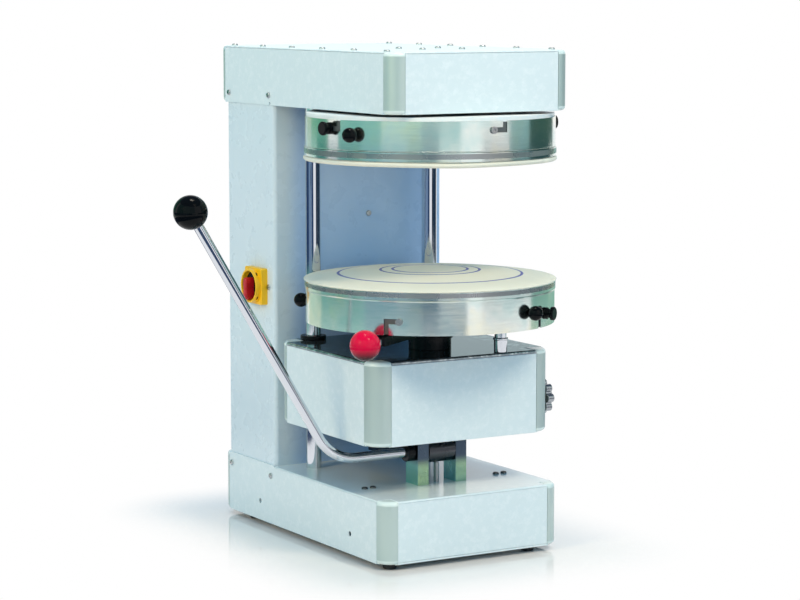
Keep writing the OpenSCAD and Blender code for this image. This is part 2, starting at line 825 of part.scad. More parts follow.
pan_rim_up = 2;
pan_bore_gap = 6;
pan_hub_w = 28;

module upper_pan() {
  rim_z = upper_strap_z + pan_rim_up;
  bore_r = housing_d / 2 + pan_bore_gap;
  color(steel_colour) place() difference() {
    rotate_extrude() {
      translate([rim_r - rim_wall, rim_z]) square([rim_wall, pan_top - rim_z]);
      translate([bore_r, pan_top - pan_t]) square([rim_r - bore_r, pan_t]);
      translate([bore_r, pan_top - pan_t]) square([pan_hub_w, head_z - pan_top + pan_t]);
    }
    for (a = concat(upper_pins_at, upper_knob_pins_at)) pin_bore(a, upper_pin_z);
  }
}

module upper_pins() {
  color(steel_colour) place() for (a = upper_pins_at) bayonet_pin(a, upper_pin_z);
}

module upper_pin_knobs() {
  color(black_colour) place() for (a = upper_knob_pins_at)
    thumb_knob(a, upper_pin_z);
}

housing_d = 62;
housing_gap = 3;
housing_flange_w = 22;
housing_flange_t = 8;

module spindle_housing() {
  housing_z = disc_z + disc_t + housing_gap;
  housing_top = pulley_z - housing_gap;
  color(steel_colour) place() difference() {
    union() {
      translate([0, 0, housing_z]) cylinder(d = housing_d, h = housing_top - housing_z);
      translate([0, 0, head_floor_top])
        cylinder(d = housing_d + 2 * housing_flange_w, h = housing_flange_t);
    }
    translate([0, 0, disc_z]) cylinder(d = spindle_d + 2 * run_gap, h = pulley_z - disc_z);
  }
}

boss_d = 70;
boss_over = 4;
motor_flange = 10;
motor_flange_w = 4;
motor_shaft_d = 19;
motor_shaft_in = 55;

module drive_motor() {
  flange = motor_d + 2 * motor_flange_w;
  flange_z = head_z - motor_flange;
  color(steel_colour) place() translate([0, motor_y, 0]) difference() {
    union() {
      translate([0, 0, flange_z - motor_h]) cylinder(d = motor_d, h = motor_h);
      translate([-flange / 2, -flange / 2, flange_z]) cube([flange, flange, motor_flange]);
      translate([0, 0, head_z - edge]) cylinder(d = boss_d, h = head_floor_t + boss_over + edge);
    }
    translate([0, 0, head_z - motor_shaft_in - motor_shaft_end])
      cylinder(d = motor_shaft_d + 2 * run_gap, h = motor_shaft_in + over + motor_flange);
  }
}

belt_t = 3;

belt_in = 2;

module drive_belt() {
  in_r = pulley_r + turn_gap;
  color(black_colour) place() translate([0, 0, pulley_z + belt_in]) linear_extrude(pulley_h - 2 * belt_in) {
    for (x = [-in_r - belt_t, in_r]) translate([x, 0]) square([belt_t, motor_y]);
    difference() {
      circle(in_r + belt_t);
      circle(in_r);
      translate([-2 * in_r, 0]) square([4 * in_r, 2 * in_r]);
    }
    translate([0, motor_y]) difference() {
      circle(in_r + belt_t);
      circle(in_r);
      translate([-2 * in_r, -2 * in_r]) square([4 * in_r, 2 * in_r]);
    }
  }
}

motor_shaft_end = 5;

module motor_pulley() {
  shaft_low = head_z - motor_shaft_in;
  color(steel_colour) place() translate([0, motor_y, 0]) {
    translate([0, 0, shaft_low]) cylinder(d = motor_shaft_d, h = spindle_top - shaft_low);
    translate([0, 0, pulley_z]) cylinder(r = pulley_r, h = pulley_h);
  }
}

switch_ring_in = 2;
switch_ring_wall = 3.5;
switch_ring_d = switch_w - 2 * switch_ring_in;
switch_well_d = switch_ring_d - 2 * switch_ring_wall;
switch_neck_d = 22;
switch_neck_l = 12;
switch_plate_t = 11;
switch_corner = 5;
switch_floor = 4;
switch_depth = 20;
switch_shaft_d = 10;
switch_shaft_in = 7;

// Square plate with a round collar, open to the left for the handle
module switch_body() {
  color(yellow_colour) place() translate([-casing_half, switch_y, switch_z]) rotate([0, -90, 0])
    difference() {
      union() {
        linear_extrude(switch_plate_t) translate([-switch_w / 2, 0])
          outline_centred(switch_w, switch_w, switch_corner);
        cylinder(d = switch_ring_d, h = switch_depth);
        translate([0, 0, -switch_neck_l]) cylinder(d = switch_neck_d, h = switch_neck_l + edge);
      }
      translate([0, 0, switch_floor]) cylinder(d = switch_well_d, h = switch_depth);
      translate([0, 0, -switch_shaft_in - edge]) cylinder(d = switch_shaft_d + 2 * run_gap, h = over);
    }
}

// Rounded rectangle, from x = 0 and centred on y = 0
module outline_centred(w, h, r) {
  translate([r, -h / 2]) square([w - 2 * r, h]);
  translate([0, -h / 2 + r]) square([w, h - 2 * r]);
  for (x = [r, w - r], y = [-h / 2 + r, h / 2 - r]) translate([x, y]) circle(r);
}

handle_gap = 1;
handle_disc_t = 8;
handle_bar_w = 12;
handle_bar_in = 5;
handle_bar_h = 16;
handle_bar_r = 4;
handle_bar_low = 4.5;

// Round disc on the switch shaft, with a grip bar across it that reaches lower than the centre
module switch_handle() {
  disc_d = switch_well_d - 2 * handle_gap;
  bar_l = disc_d - 2 * handle_bar_in;
  disc_at = switch_floor + turn_gap;
  color(red_colour) place() translate([-casing_half, switch_y, switch_z]) rotate([0, -90, 0]) {
    translate([0, 0, -switch_shaft_in]) cylinder(d = switch_shaft_d, h = switch_shaft_in + disc_at + edge);
    translate([0, 0, disc_at]) cylinder(d = disc_d, h = handle_disc_t);
    translate([0, 0, disc_at + handle_disc_t - edge]) linear_extrude(handle_bar_h)
      translate([-bar_l / 2 - handle_bar_low, 0]) outline_centred(bar_l, handle_bar_w, handle_bar_r);
  }
}

bend_swell = 0.1;
bend_sink = 1;

// Bent rod: the straight lengths end just inside the bend, which is a hair thicker
module lever_rod() {
  rest = lever_arm - lever_tangent - ball_cover;
  straight = shaft_end - lever_bend_x;
  color(chrome_colour) place() translate([0, -shaft_front, shaft_z]) {
    translate([lever_bend_x - bend_sink, 0, 0]) rotate([0, 90, 0])
      cylinder(d = rod_d, h = straight + bend_sink);
    translate([lever_bend_x, 0, lever_bend]) rotate([90, 0, 0]) rotate([0, 0, lever_lean - 180])
      rotate_extrude(angle = 90 - lever_lean) translate([lever_bend, 0]) circle(d = rod_d + bend_swell);
    translate([-lever_corner, 0, 0]) rotate([0, -lever_lean, 0])
      translate([0, 0, lever_tangent - bend_sink]) cylinder(d = rod_d, h = rest + bend_sink);
  }
}

module lever_ball() {
  color(black_colour) place() translate([ball_x, -shaft_front, ball_z]) rotate([0, -lever_lean, 0])
    difference() {
      sphere(d = lever_ball_d);
      translate([0, 0, -lever_ball_d])
        cylinder(d = rod_d + 2 * fit_gap, h = lever_ball_d - ball_cover + edge);
    }
}

module lever_collar() {
  collar_x = cheek_space / 2 + cheek_t + turn_gap;
  color(black_colour) place() translate([-collar_x - collar_w, -shaft_front, shaft_z])
    rotate([0, 90, 0]) difference() {
      cylinder(d = rod_d + 2 * collar_wall, h = collar_w);
      translate([0, 0, -over]) cylinder(d = rod_d + 2 * fit_gap, h = 3 * over);
    }
}

cam_side = 1;
cam_nose = [-2, -8];
cam_heel = 36;
cam_heel_drop = 32;
cam_back = 8;

// Spiral plate cam on its hub, keyed to the lever shaft between the cheeks
module lifting_cam() {
  hub_w = cheek_space - 2 * cam_side;
  color(steel_colour) place() translate([0, -shaft_front, shaft_z]) difference() {
    union() {
      translate([-cam_t / 2, 0, 0]) rotate([90, 0, 90]) linear_extrude(cam_t)
        polygon(concat([for (a = [0:cam_step:lever_swing]) cam_point(a)],
          [cam_tip + cam_nose, [cam_tip[0] - cam_heel, -cam_heel_drop], [0, edge - hub_r], [-cam_back, 0]]));
      translate([-hub_w / 2, 0, 0]) rotate([0, 90, 0]) cylinder(r = hub_r, h = hub_w);
    }
    translate([-cheek_space, 0, 0]) rotate([0, 90, 0])
      cylinder(d = rod_d + 2 * fit_gap, h = 2 * cheek_space);
  }
}

bush_wall = 5;
bush_d = column_d + 2 * bush_wall;
bush_short = 20;
post_stub_d = 13;
post_stub_out = 6;
posts_at = [[post_x, post_in - carriage_front], [-post_x, carriage_front - post_in]];

module carriage_top_plate() {
  top_z = carriage_top - carriage_top_t;
  color(panel_colour) place() difference() {
    translate([0, 0, top_z]) linear_extrude(carriage_top_t)
      notched_outline(carriage_half, -carriage_front, carriage_rear, carriage_corner_r,
        carriage_corner_r);
    for (x = [-column_x, column_x]) translate([x, column_y, top_z - over])
      cylinder(d = bush_d + 2 * fit_gap, h = 3 * over);
    for (p = posts_at) translate([p[0], p[1], top_z - over])
      cylinder(d = post_stub_d + 2 * fit_gap, h = 3 * over);
  }
}

carriage_panel_h = carriage_h - carriage_top_t - seam;

module carriage_front_panel() {
  color(panel_colour) place()
    cross_panel(carriage_half, -carriage_front, carriage_corner_r, carriage_z, carriage_panel_h);
}

// Bore for the stud of the side knob, through the right wall
module stud_bore(gap) {
  translate([0, -side_knob_y, carriage_z + side_knob_z]) rotate([0, 90, 0])
    cylinder(d = stud_d + 2 * gap, h = carriage_half + over);
}

module carriage_side_panels() {
  y0 = carriage_corner_r + seam - carriage_front;
  y1 = carriage_rear - carriage_corner_r - seam;
  color(panel_colour) place() difference() {
    for (side = [0, 1]) mirror([side, 0, 0])
      translate([carriage_half - sheet_t, y0, carriage_z]) cube([sheet_t, y1 - y0, carriage_panel_h]);
    stud_bore(fit_gap);
  }
}

module carriage_rear_panel() {
  color(panel_colour) place()
    cross_panel(carriage_half, carriage_rear - sheet_t, carriage_corner_r, carriage_z, carriage_panel_h);
}

module carriage_corner_profiles() {
  color(profile_colour) place() difference() {
    corner_profiles(carriage_half, -carriage_front, carriage_rear, carriage_corner_r, carriage_z,
      carriage_h, carriage_panel_h, true);
    stud_bore(turn_gap);
  }
}

// Flanged sliding bushes on the columns
module column_bushes() {
  bush_h = carriage_h - bush_short;
  color(black_colour) place() for (x = [-column_x, column_x]) translate([x, column_y, 0])
    difference() {
      union() {
        translate([0, 0, carriage_top - bush_h]) cylinder(d = bush_d, h = bush_h);
        translate([0, 0, carriage_top]) cylinder(d = bush_flange_d, h = bush_flange_t);
      }
      translate([0, 0, carriage_z - over]) cylinder(d = column_d + 2 * run_gap, h = carriage_h + 3 * over);
    }
}

lug_t = 8;
lug_gap = 2;
lug_drop = 14;
lug_w = 34;
lug_foot_w = 40;
lug_foot_t = 8;
journal_d = 12;
journal_out = 2;
roller_side = 1;

// Two lugs under the carriage top that carry the cam roller
module roller_bracket() {
  roller_at = shaft_z + cam_start;
  foot_z = carriage_top - carriage_top_t;
  color(zinc_colour) place() for (side = [0, 1]) mirror([side, 0, 0]) difference() {
    union() {
      translate([cam_t / 2 + lug_gap, -shaft_front - lug_w / 2, roller_at - lug_drop])
        cube([lug_t, lug_w, foot_z - roller_at + lug_drop]);
      translate([cam_t / 2 + lug_gap, -shaft_front - lug_w / 2, foot_z - lug_foot_t])
        cube([lug_foot_w, lug_w, lug_foot_t]);
    }
    translate([0, -shaft_front, roller_at]) rotate([0, 90, 0])
      cylinder(d = journal_d + 2 * run_gap, h = body_w);
  }
}

module cam_roller() {
  roller_at = shaft_z + cam_start;
  lug_out = cam_t / 2 + lug_gap + lug_t;
  color(steel_colour) place() translate([0, -shaft_front, roller_at]) rotate([0, 90, 0]) {
    translate([0, 0, -cam_t / 2 - roller_side]) cylinder(d = roller_d, h = cam_t + 2 * roller_side);
    translate([0, 0, -lug_out - journal_out]) cylinder(d = journal_d, h = 2 * (lug_out + journal_out));
  }
}

post_step = 1;
post_ring_w = 1.5;
post_ring_h = 3;
post_up = 30;
post_head_gap = 4;
post_pin_d = post_d - 2 * post_step;

// Stepped chrome posts on the carriage that keep the lower plate from turning
module guide_posts() {
  collar_h = (lower_band_z - carriage_top) / 2;
  stub_z = carriage_top - carriage_top_t - post_stub_out;
  color(chrome_colour) place() for (p = posts_at) translate([p[0], p[1], 0]) {
    translate([0, 0, stub_z]) cylinder(d = post_stub_d, h = carriage_top + collar_h - stub_z);
    translate([0, 0, carriage_top]) cylinder(d = post_d, h = collar_h);
    translate([0, 0, carriage_top + collar_h - post_ring_h])
      cylinder(d = post_d + 2 * post_ring_w, h = post_ring_h);
    translate([0, 0, carriage_top]) cylinder(d = post_pin_d, h = lower_band_z - carriage_top + post_up);
  }
}

hub_ring_rise = 18;
hub_ring_w = 3;
hub_ring_h = 3;
arm_rod_floor = 2;

module adjuster_hub() {
  ring_z = carriage_top + hub_ring_rise;
  color(black_colour) place() rotate([0, 0, adjuster_angle]) difference() {
    union() {
      translate([0, 0, hub_z]) cylinder(d = hub_d, h = hub_top - hub_z);
      translate([0, 0, ring_z]) cylinder(d = hub_d + 2 * hub_ring_w, h = hub_ring_h);
      translate([0, -arm_w / 2, arm_z - arm_h / 2]) cube([arm_reach, arm_w, arm_h]);
    }
    translate([0, 0, hub_z - over]) cylinder(d = stem_d + 2 * run_gap, h = hub_top - hub_z + 2 * over);
    translate([arm_reach - arm_rod_in - arm_rod_floor, 0, arm_z]) rotate([0, 90, 0])
      cylinder(d = arm_rod_d + 2 * fit_gap, h = 2 * over);
  }
}

nut_d = 17;
nut_h = 8;
rod_past = 6;

// Rod from the arm into the ball, with its lock nut
module adjuster_rod() {
  color(chrome_colour) place() rotate([0, 0, adjuster_angle]) translate([arm_reach - arm_rod_in, 0, arm_z])
    rotate([0, 90, 0]) {
      cylinder(d = arm_rod_d, h = adjuster_reach - arm_reach + arm_rod_in + rod_past);
      translate([0, 0, arm_rod_in + fit_gap]) cylinder(d = nut_d, h = nut_h, $fn = 6);
    }
}

module adjuster_ball() {
  color(red_colour) place() rotate([0, 0, adjuster_angle]) translate([adjuster_reach, 0, arm_z])
    rotate([0, 90, 0]) difference() {
      sphere(d = adjuster_ball_d);
      translate([0, 0, -adjuster_ball_d])
        cylinder(d = arm_rod_d + 2 * fit_gap, h = adjuster_ball_d + rod_past + edge);
    }
}

deck_t = 10;
stem_gap = 3;
rim_up = 1;
socket_wall = 9;

// Dished plate with a stem in the adjuster hub and sockets for the guide posts
module lower_plate() {
  deck_z = lower_cloth_z - deck_t;
  socket_z = lower_band_z + rim_up;
  color(steel_colour) place() difference() {
    union() {
      rotate_extrude() {
        translate([0, deck_z]) square([rim_r, deck_t - turn_gap]);
        translate([rim_r - rim_wall, socket_z]) square([rim_wall, deck_z - socket_z + edge]);
        translate([0, carriage_top + stem_gap]) square([stem_d / 2, deck_z - carriage_top - stem_gap + edge]);
        translate([0, hub_top + stem_gap]) square([hub_d / 2, deck_z - hub_top - stem_gap + edge]);
      }
      for (p = posts_at) translate([p[0], p[1], socket_z])
        cylinder(d = post_pin_d + 2 * socket_wall, h = deck_z - socket_z + edge);
    }
    for (p = posts_at) translate([p[0], p[1], lower_band_z])
      cylinder(d = post_pin_d + 2 * run_gap, h = post_up + post_head_gap);
    for (a = concat(lower_pins_at, lower_knob_pins_at)) pin_bore(a, lower_pin_z);
  }
}

module lower_pins() {
  color(steel_colour) place() for (a = lower_pins_at) bayonet_pin(a, lower_pin_z);
}

module lower_pin_knobs() {
  color(black_colour) place() for (a = lower_knob_pins_at)
    thumb_knob(a, lower_pin_z);
}

// Cut for a bayonet slot: mouth at z_mouth, level leg from the mouth to the pin
slot_deep = 3;

module bayonet_cut(pin_at, turn, z_pin, z_mouth) {
  low = min(z_pin - slot_w / 2, z_mouth);
  high = max(z_pin + slot_w / 2, z_mouth);
  end = slot_w / 2 / band_out * 180 / PI;
  deep = band_out - rim_r + 2 * slot_deep;
  rotate([0, 0, pin_at - turn]) translate([rim_r - slot_deep, -slot_w / 2, low])
    cube([deep, slot_w, high - low]);
  rotate([0, 0, turn > 0 ? pin_at - turn : pin_at - end]) rotate_extrude(angle = abs(turn) + end)
    translate([rim_r - slot_deep, z_pin - slot_w / 2]) square([deep, slot_w]);
}

module lower_band() {
  color(steel_colour) place() difference() {
    translate([0, 0, lower_band_z]) rotate_extrude() translate([band_r, 0]) square([band_t, lower_band_h]);
    for (a = concat(lower_pins_at, lower_knob_pins_at))
      bayonet_cut(a, bayonet_turn, lower_pin_z, lower_band_z - over);
  }
}

module lower_band_knobs() {
  color(black_colour) place() for (a = lower_knobs_at) ball_knob(a, lower_knob_z);
}

module lower_strap() {
  color(steel_colour) place() translate([0, 0, lower_band_top + turn_gap]) rotate_extrude()
    translate([strap_r, 0]) square([band_t, strap_h]);
}

crown_steps = 1440;

// Padded cloth over the plate: crowned top, rolled edge and a skirt under the strap
module lower_cloth() {
  skirt = lower_band_top + turn_gap;
  roll = lower_cloth_t / 2;
  pad_r = plate_d / 2 - roll;
  crown_r = (pad_r * pad_r + lower_crown * lower_crown) / (2 * lower_crown);
  color(cloth_colour) place() rotate_extrude() {
    intersection() {
      translate([0, lower_cloth_z]) square([pad_r, lower_cloth_t + lower_crown]);
      translate([0, lower_face + lower_crown - crown_r]) circle(crown_r, $fn = crown_steps);
    }
    translate([pad_r, lower_cloth_z + roll]) circle(roll);
    translate([rim_r + turn_gap, skirt])
      square([strap_r - rim_r - 2 * turn_gap, lower_cloth_z - skirt + edge]);
  }
}

module upper_band() {
  color(steel_colour) place() difference() {
    translate([0, 0, upper_band_z + turn_gap]) rotate_extrude() translate([band_r, 0])
      square([band_t, upper_band_h - turn_gap]);
    for (a = concat(upper_pins_at, upper_knob_pins_at))
      bayonet_cut(a, -bayonet_turn, upper_pin_z, upper_band_top + over);
  }
}

module upper_band_knobs() {
  color(black_colour) place() for (a = upper_knobs_at) ball_knob(a, upper_knob_z);
}

module upper_strap() {
  color(steel_colour) place() translate([0, 0, upper_strap_z + turn_gap]) rotate_extrude()
    translate([strap_r, 0]) square([band_t, upper_strap_h - turn_gap]);
}

upper_cloth_t = 2;

// Cloth under the roller head: flat sheet, padded rim and a skirt under the strap
module upper_cloth() {
  roll = upper_cloth_h / 2 - turn_gap;
  color(cloth_colour) place() rotate_extrude() {
    translate([0, upper_face]) square([plate_d / 2 - roll, upper_cloth_t]);
    translate([plate_d / 2 - roll, upper_face + roll]) circle(roll);
    translate([rim_r + turn_gap, upper_face + roll])
      square([strap_r - rim_r - 2 * turn_gap, upper_band_z - upper_face - roll]);
  }
}

// Spindle with its pulley, disc and the hangers of the two press rollers
module roller_head() {
  color(steel_colour) place() difference() {
    union() {
      translate([0, 0, disc_z]) cylinder(d = spindle_d, h = spindle_top - disc_z);
      translate([0, 0, pulley_z]) cylinder(r = pulley_r, h = pulley_h);
      translate([0, 0, disc_z]) cylinder(r = disc_r, h = disc_t);
      for (s = [-1, 1], r = [roller_in - hanger, roller_out])
        translate([s > 0 ? r : -r - hanger, -hanger_w / 2, roller_z - hanger_w / 2])
          cube([hanger, hanger_w, disc_z - roller_z + hanger_w / 2 + edge]);
    }
    for (s = [-1, 1]) translate([s * (roller_in - hanger - edge), 0, roller_z]) rotate([0, s * 90, 0])
      cylinder(d = axle_d + 2 * run_gap, h = roller_l + 2 * (hanger + edge));
  }
}

// Press roller with its axle, along X
module press_roller(s) {
  axle_end = hanger - edge;
  translate([0, 0, roller_z]) rotate([0, s * 90, 0]) {
    translate([0, 0, roller_in + roller_side]) cylinder(d = press_roller_d, h = roller_l - 2 * roller_side);
    translate([0, 0, roller_in - axle_end]) cylinder(d = axle_d, h = roller_l + 2 * axle_end);
  }
}

module roller_left() {
  color(chrome_colour) place() press_roller(-1);
}

module roller_right() {
  color(chrome_colour) place() press_roller(1);
}

stud_d = 10;
stud_in = 16;
lobes = 8;
lobe_d = 14;
lobe_core_d = 44;
side_knob_h = 11;
side_neck_d = 22;
side_neck_h = 2;

// Lobed chrome knob on its stud, through the right side panel
module side_knob() {
  color(chrome_colour) place() translate([carriage_half, -side_knob_y, carriage_z + side_knob_z])
    rotate([0, 90, 0]) {
      translate([0, 0, turn_gap + side_neck_h]) linear_extrude(side_knob_h) {
        circle(d = lobe_core_d);
        for (k = [0:lobes - 1]) rotate(k * 360 / lobes)
          translate([side_knob_d / 2 - lobe_d / 2, 0]) circle(d = lobe_d);
      }
      translate([0, 0, turn_gap]) cylinder(d = side_neck_d, h = side_neck_h + edge);
      translate([0, 0, -stud_in]) cylinder(d = stud_d, h = stud_in + turn_gap + edge);
    }
}

base_top_plate();
base_front_panel();
base_side_panels();
base_rear_panel();
base_bottom_plate();
base_corner_profiles();
rubber_feet();
pivot_beam();
pivot_cheeks();
guide_columns();
casing_shell();
casing_rear_cover();
panel_screws();
socket_screws();
head_floor_plate();
head_front_panel();
head_side_panels();
head_rear_panel();
head_corner_profiles();
head_top_cover();
upper_pan();
upper_pins();
upper_pin_knobs();
spindle_housing();
drive_motor();
drive_belt();
switch_body();
lever_rod();
lever_ball();
lever_collar();
lifting_cam();
carriage_top_plate();
carriage_front_panel();
carriage_side_panels();
carriage_rear_panel();
carriage_corner_profiles();
column_bushes();
roller_bracket();
guide_posts();
adjuster_hub();
adjuster_rod();
adjuster_ball();
lower_plate();
lower_pins();
lower_pin_knobs();
lower_band();
lower_band_knobs();
lower_strap();
lower_cloth();
upper_band();
upper_band_knobs();
upper_strap();
upper_cloth();
roller_head();
roller_left();
roller_right();
motor_pulley();
switch_handle();
side_knob();
cam_roller();
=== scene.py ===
import json
import math

import bmesh
import bpy
from mathutils import Matrix, Vector, noise


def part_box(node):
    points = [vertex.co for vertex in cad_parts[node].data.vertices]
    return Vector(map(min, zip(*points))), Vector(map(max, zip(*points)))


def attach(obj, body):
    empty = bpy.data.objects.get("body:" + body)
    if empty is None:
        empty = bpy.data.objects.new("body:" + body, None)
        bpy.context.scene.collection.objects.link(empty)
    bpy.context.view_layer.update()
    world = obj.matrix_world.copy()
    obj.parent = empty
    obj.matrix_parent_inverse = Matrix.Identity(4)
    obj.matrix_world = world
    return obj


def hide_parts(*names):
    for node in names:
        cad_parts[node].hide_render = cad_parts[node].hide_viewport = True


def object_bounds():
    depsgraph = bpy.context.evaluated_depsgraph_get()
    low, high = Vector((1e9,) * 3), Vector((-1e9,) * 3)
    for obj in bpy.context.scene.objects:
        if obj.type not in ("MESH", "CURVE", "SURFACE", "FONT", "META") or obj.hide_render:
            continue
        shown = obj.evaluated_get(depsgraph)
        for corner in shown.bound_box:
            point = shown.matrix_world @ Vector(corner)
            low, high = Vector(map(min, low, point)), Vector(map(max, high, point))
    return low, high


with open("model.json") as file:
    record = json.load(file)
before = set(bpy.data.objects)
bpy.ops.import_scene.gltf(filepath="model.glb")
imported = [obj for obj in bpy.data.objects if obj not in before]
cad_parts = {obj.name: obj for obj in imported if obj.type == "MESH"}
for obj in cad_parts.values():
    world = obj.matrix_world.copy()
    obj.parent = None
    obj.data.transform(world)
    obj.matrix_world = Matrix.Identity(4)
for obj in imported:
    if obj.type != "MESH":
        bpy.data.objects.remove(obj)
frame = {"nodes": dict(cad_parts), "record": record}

cad_low, cad_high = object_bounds()
scene = bpy.context.scene
scene.view_settings.view_transform = "Standard"


# Camera: stands to the front left of the press, a little above the plates, with a long lens.
# The place and the lens were fitted to the press's own edges, taken as a picture of 800 by 600.
drum_low, drum_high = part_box("lower_band")
axis = Vector(((drum_low[0] + drum_high[0]) / 2, (drum_low[1] + drum_high[1]) / 2, 0.0))
camera_azimuth = math.radians(-30.62)
camera_elevation = math.radians(6.97)
camera_from_axis = Vector((-2.0792, -3.4199, 0.8850))
camera_lens = 114.5
camera_sensor = 36.0
towards_camera = Vector((math.sin(camera_azimuth) * math.cos(camera_elevation),
                         -math.cos(camera_azimuth) * math.cos(camera_elevation),
                         math.sin(camera_elevation)))


def stand(thing, place, direction):
    """Puts a camera or lamp at a place, looking along a direction."""
    thing.location = place
    thing.rotation_mode = "QUATERNION"
    thing.rotation_quaternion = Vector(direction).to_track_quat("-Z", "Y")
    scene.collection.objects.link(thing)


camera = bpy.data.objects.new("camera", bpy.data.cameras.new("camera"))
camera.data.lens = camera_lens
camera.data.sensor_width = camera_sensor
camera.data.dof.use_dof = False
stand(camera, axis + camera_from_axis, -towards_camera)
scene.camera = camera


# Studio: a white room with cool soft light and warm lamps high at the front, at the left and overhead.
# The pale floor is slightly glossy near the press and turns plain white further out.
lamps = {
    "lamp_front": ((1.0, -4.6, 6.2), 2.0, 285.0, (1.0, 0.86, 0.66)),
    "lamp_left": ((-5.8, -1.4, 3.4), 2.0, 168.0, (1.0, 0.80, 0.50)),
    "lamp_top": ((0.2, -0.4, 6.8), 2.0, 140.0, (1.0, 0.91, 0.76)),
}
lamp_aim = Vector((0.0, 0.0, 0.40))
for lamp_name, (lamp_place, lamp_size, lamp_watts, lamp_tint) in lamps.items():
    lamp = bpy.data.lights.new(lamp_name, "AREA")
    lamp.size = lamp_size
    lamp.energy = lamp_watts
    lamp.color = lamp_tint
    stand(bpy.data.objects.new(lamp_name, lamp), lamp_place, lamp_aim - Vector(lamp_place))


def put(tree, kind, **settings):
    """Adds a node; a setting is one of its inputs, by name, or one of its own properties."""
    node = tree.nodes.new(kind)
    for key, value in settings.items():
        plug = node.inputs.get(key.replace("_", " "))
        if plug is None:
            setattr(node, key, value)
        else:
            plug.default_value = value
    return node


def reckon(tree, operation, first, second=None, third=None):
    """A Math node on plugs or numbers, and its result."""
    node = put(tree, "ShaderNodeMath", operation=operation)
    for plug, value in zip(node.inputs, (first, second, third)):
        if isinstance(value, (int, float)):
            plug.default_value = value
        elif value is not None:
            tree.links.new(value, plug)
    return node.outputs[0]


def seen_directly(tree):
    """1 for a ray of the camera, of a mirror image or through glass, and 0 for plain light."""
    path = put(tree, "ShaderNodeLightPath")
    seen = reckon(tree, "MAXIMUM", path.outputs["Is Camera Ray"], path.outputs["Is Glossy Ray"])
    return reckon(tree, "MAXIMUM", seen, path.outputs["Is Transmission Ray"])


def mix_shaders(tree, mask, plain, seen, target):
    """Shows one shader where a mask is 0 and another one where it is 1."""
    node = put(tree, "ShaderNodeMixShader")
    for source, plug in zip((mask, plain.outputs[0], seen.outputs[0]), node.inputs):
        tree.links.new(source, plug)
    tree.links.new(node.outputs[0], target)


room_light = 0.82
room_tint = (0.32, 0.70, 1.0, 1.0)
world = bpy.data.worlds.new("white_room")
world.use_nodes = True
scene.world = world
room = world.node_tree
room_seen = room.nodes["Background"]
room_seen.inputs["Color"].default_value = (1.0, 1.0, 1.0, 1.0)
room_seen.inputs["Strength"].default_value = 1.0
room_fill = put(room, "ShaderNodeBackground", Color=room_tint, Strength=room_light)
mix_shaders(room, seen_directly(room), room_fill, room_seen, room.nodes["World Output"].inputs["Surface"])

floor_size = 30.0
floor_tone = (0.78, 0.73, 0.71, 1.0)
floor_gloss = 0.04
floor_white_from = 0.03
floor_white_to = 0.22


def own_place(tree):
    """The plug of a piece's Object coordinates."""
    return put(tree, "ShaderNodeTexCoord").outputs["Object"]


def vectored(tree, operation, first, second=(0.0, 0.0, 0.0)):
    """A Vector Math node on a plug and a fixed vector, and its result."""
    node = put(tree, "ShaderNodeVectorMath", operation=operation)
    tree.links.new(first, node.inputs[0])
    node.inputs[1].default_value = second
    return node.outputs["Value" if operation == "LENGTH" else "Vector"]


def soft_step(tree, value, start, end, top=1.0):
    """A mask that runs smoothly from 0 at a start to its top at an end."""
    node = put(tree, "ShaderNodeMapRange", interpolation_type="SMOOTHSTEP", From_Min=start, From_Max=end,
               To_Max=top)
    tree.links.new(value, node.inputs["Value"])
    return node.outputs["Result"]


def stage_piece(bm, name, material):
    """A thing of the studio that isn't part of the press."""
    mesh = bpy.data.meshes.new(name)
    bm.to_mesh(mesh)
    bm.free()
    mesh.materials.append(material)
    piece = bpy.data.objects.new(name, mesh)
    scene.collection.objects.link(piece)
    return piece


floor_paint = bpy.data.materials.new("floor_white")
floor_paint.use_nodes = True
tree = floor_paint.node_tree
floor_shader = tree.nodes["Principled BSDF"]
floor_shader.inputs["Base Color"].default_value = floor_tone
floor_shader.inputs["Roughness"].default_value = floor_gloss
floor_glow = put(tree, "ShaderNodeEmission", Strength=1.0)
floor_place = own_place(tree)
base_low, base_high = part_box("base_corner_profiles")
base_middle = Vector(((base_low[0] + base_high[0]) / 2, (base_low[1] + base_high[1]) / 2, 0.0))
base_half = ((base_high[0] - base_low[0]) / 2, (base_high[1] - base_low[1]) / 2, 0.0)
floor_span = vectored(tree, "ABSOLUTE", vectored(tree, "SUBTRACT", floor_place, base_middle))
floor_out = vectored(tree, "MAXIMUM", vectored(tree, "SUBTRACT", floor_span, base_half))
floor_fade = soft_step(tree, vectored(tree, "LENGTH", floor_out), floor_white_from, floor_white_to)
floor_mask = reckon(tree, "MULTIPLY", floor_fade, seen_directly(tree))
mix_shaders(tree, floor_mask, floor_shader, floor_glow, tree.nodes["Material Output"].inputs["Surface"])
floor_bm = bmesh.new()
bmesh.ops.create_grid(floor_bm, x_segments=1, y_segments=1, size=floor_size / 2)
stage_piece(floor_bm, "floor", floor_paint)


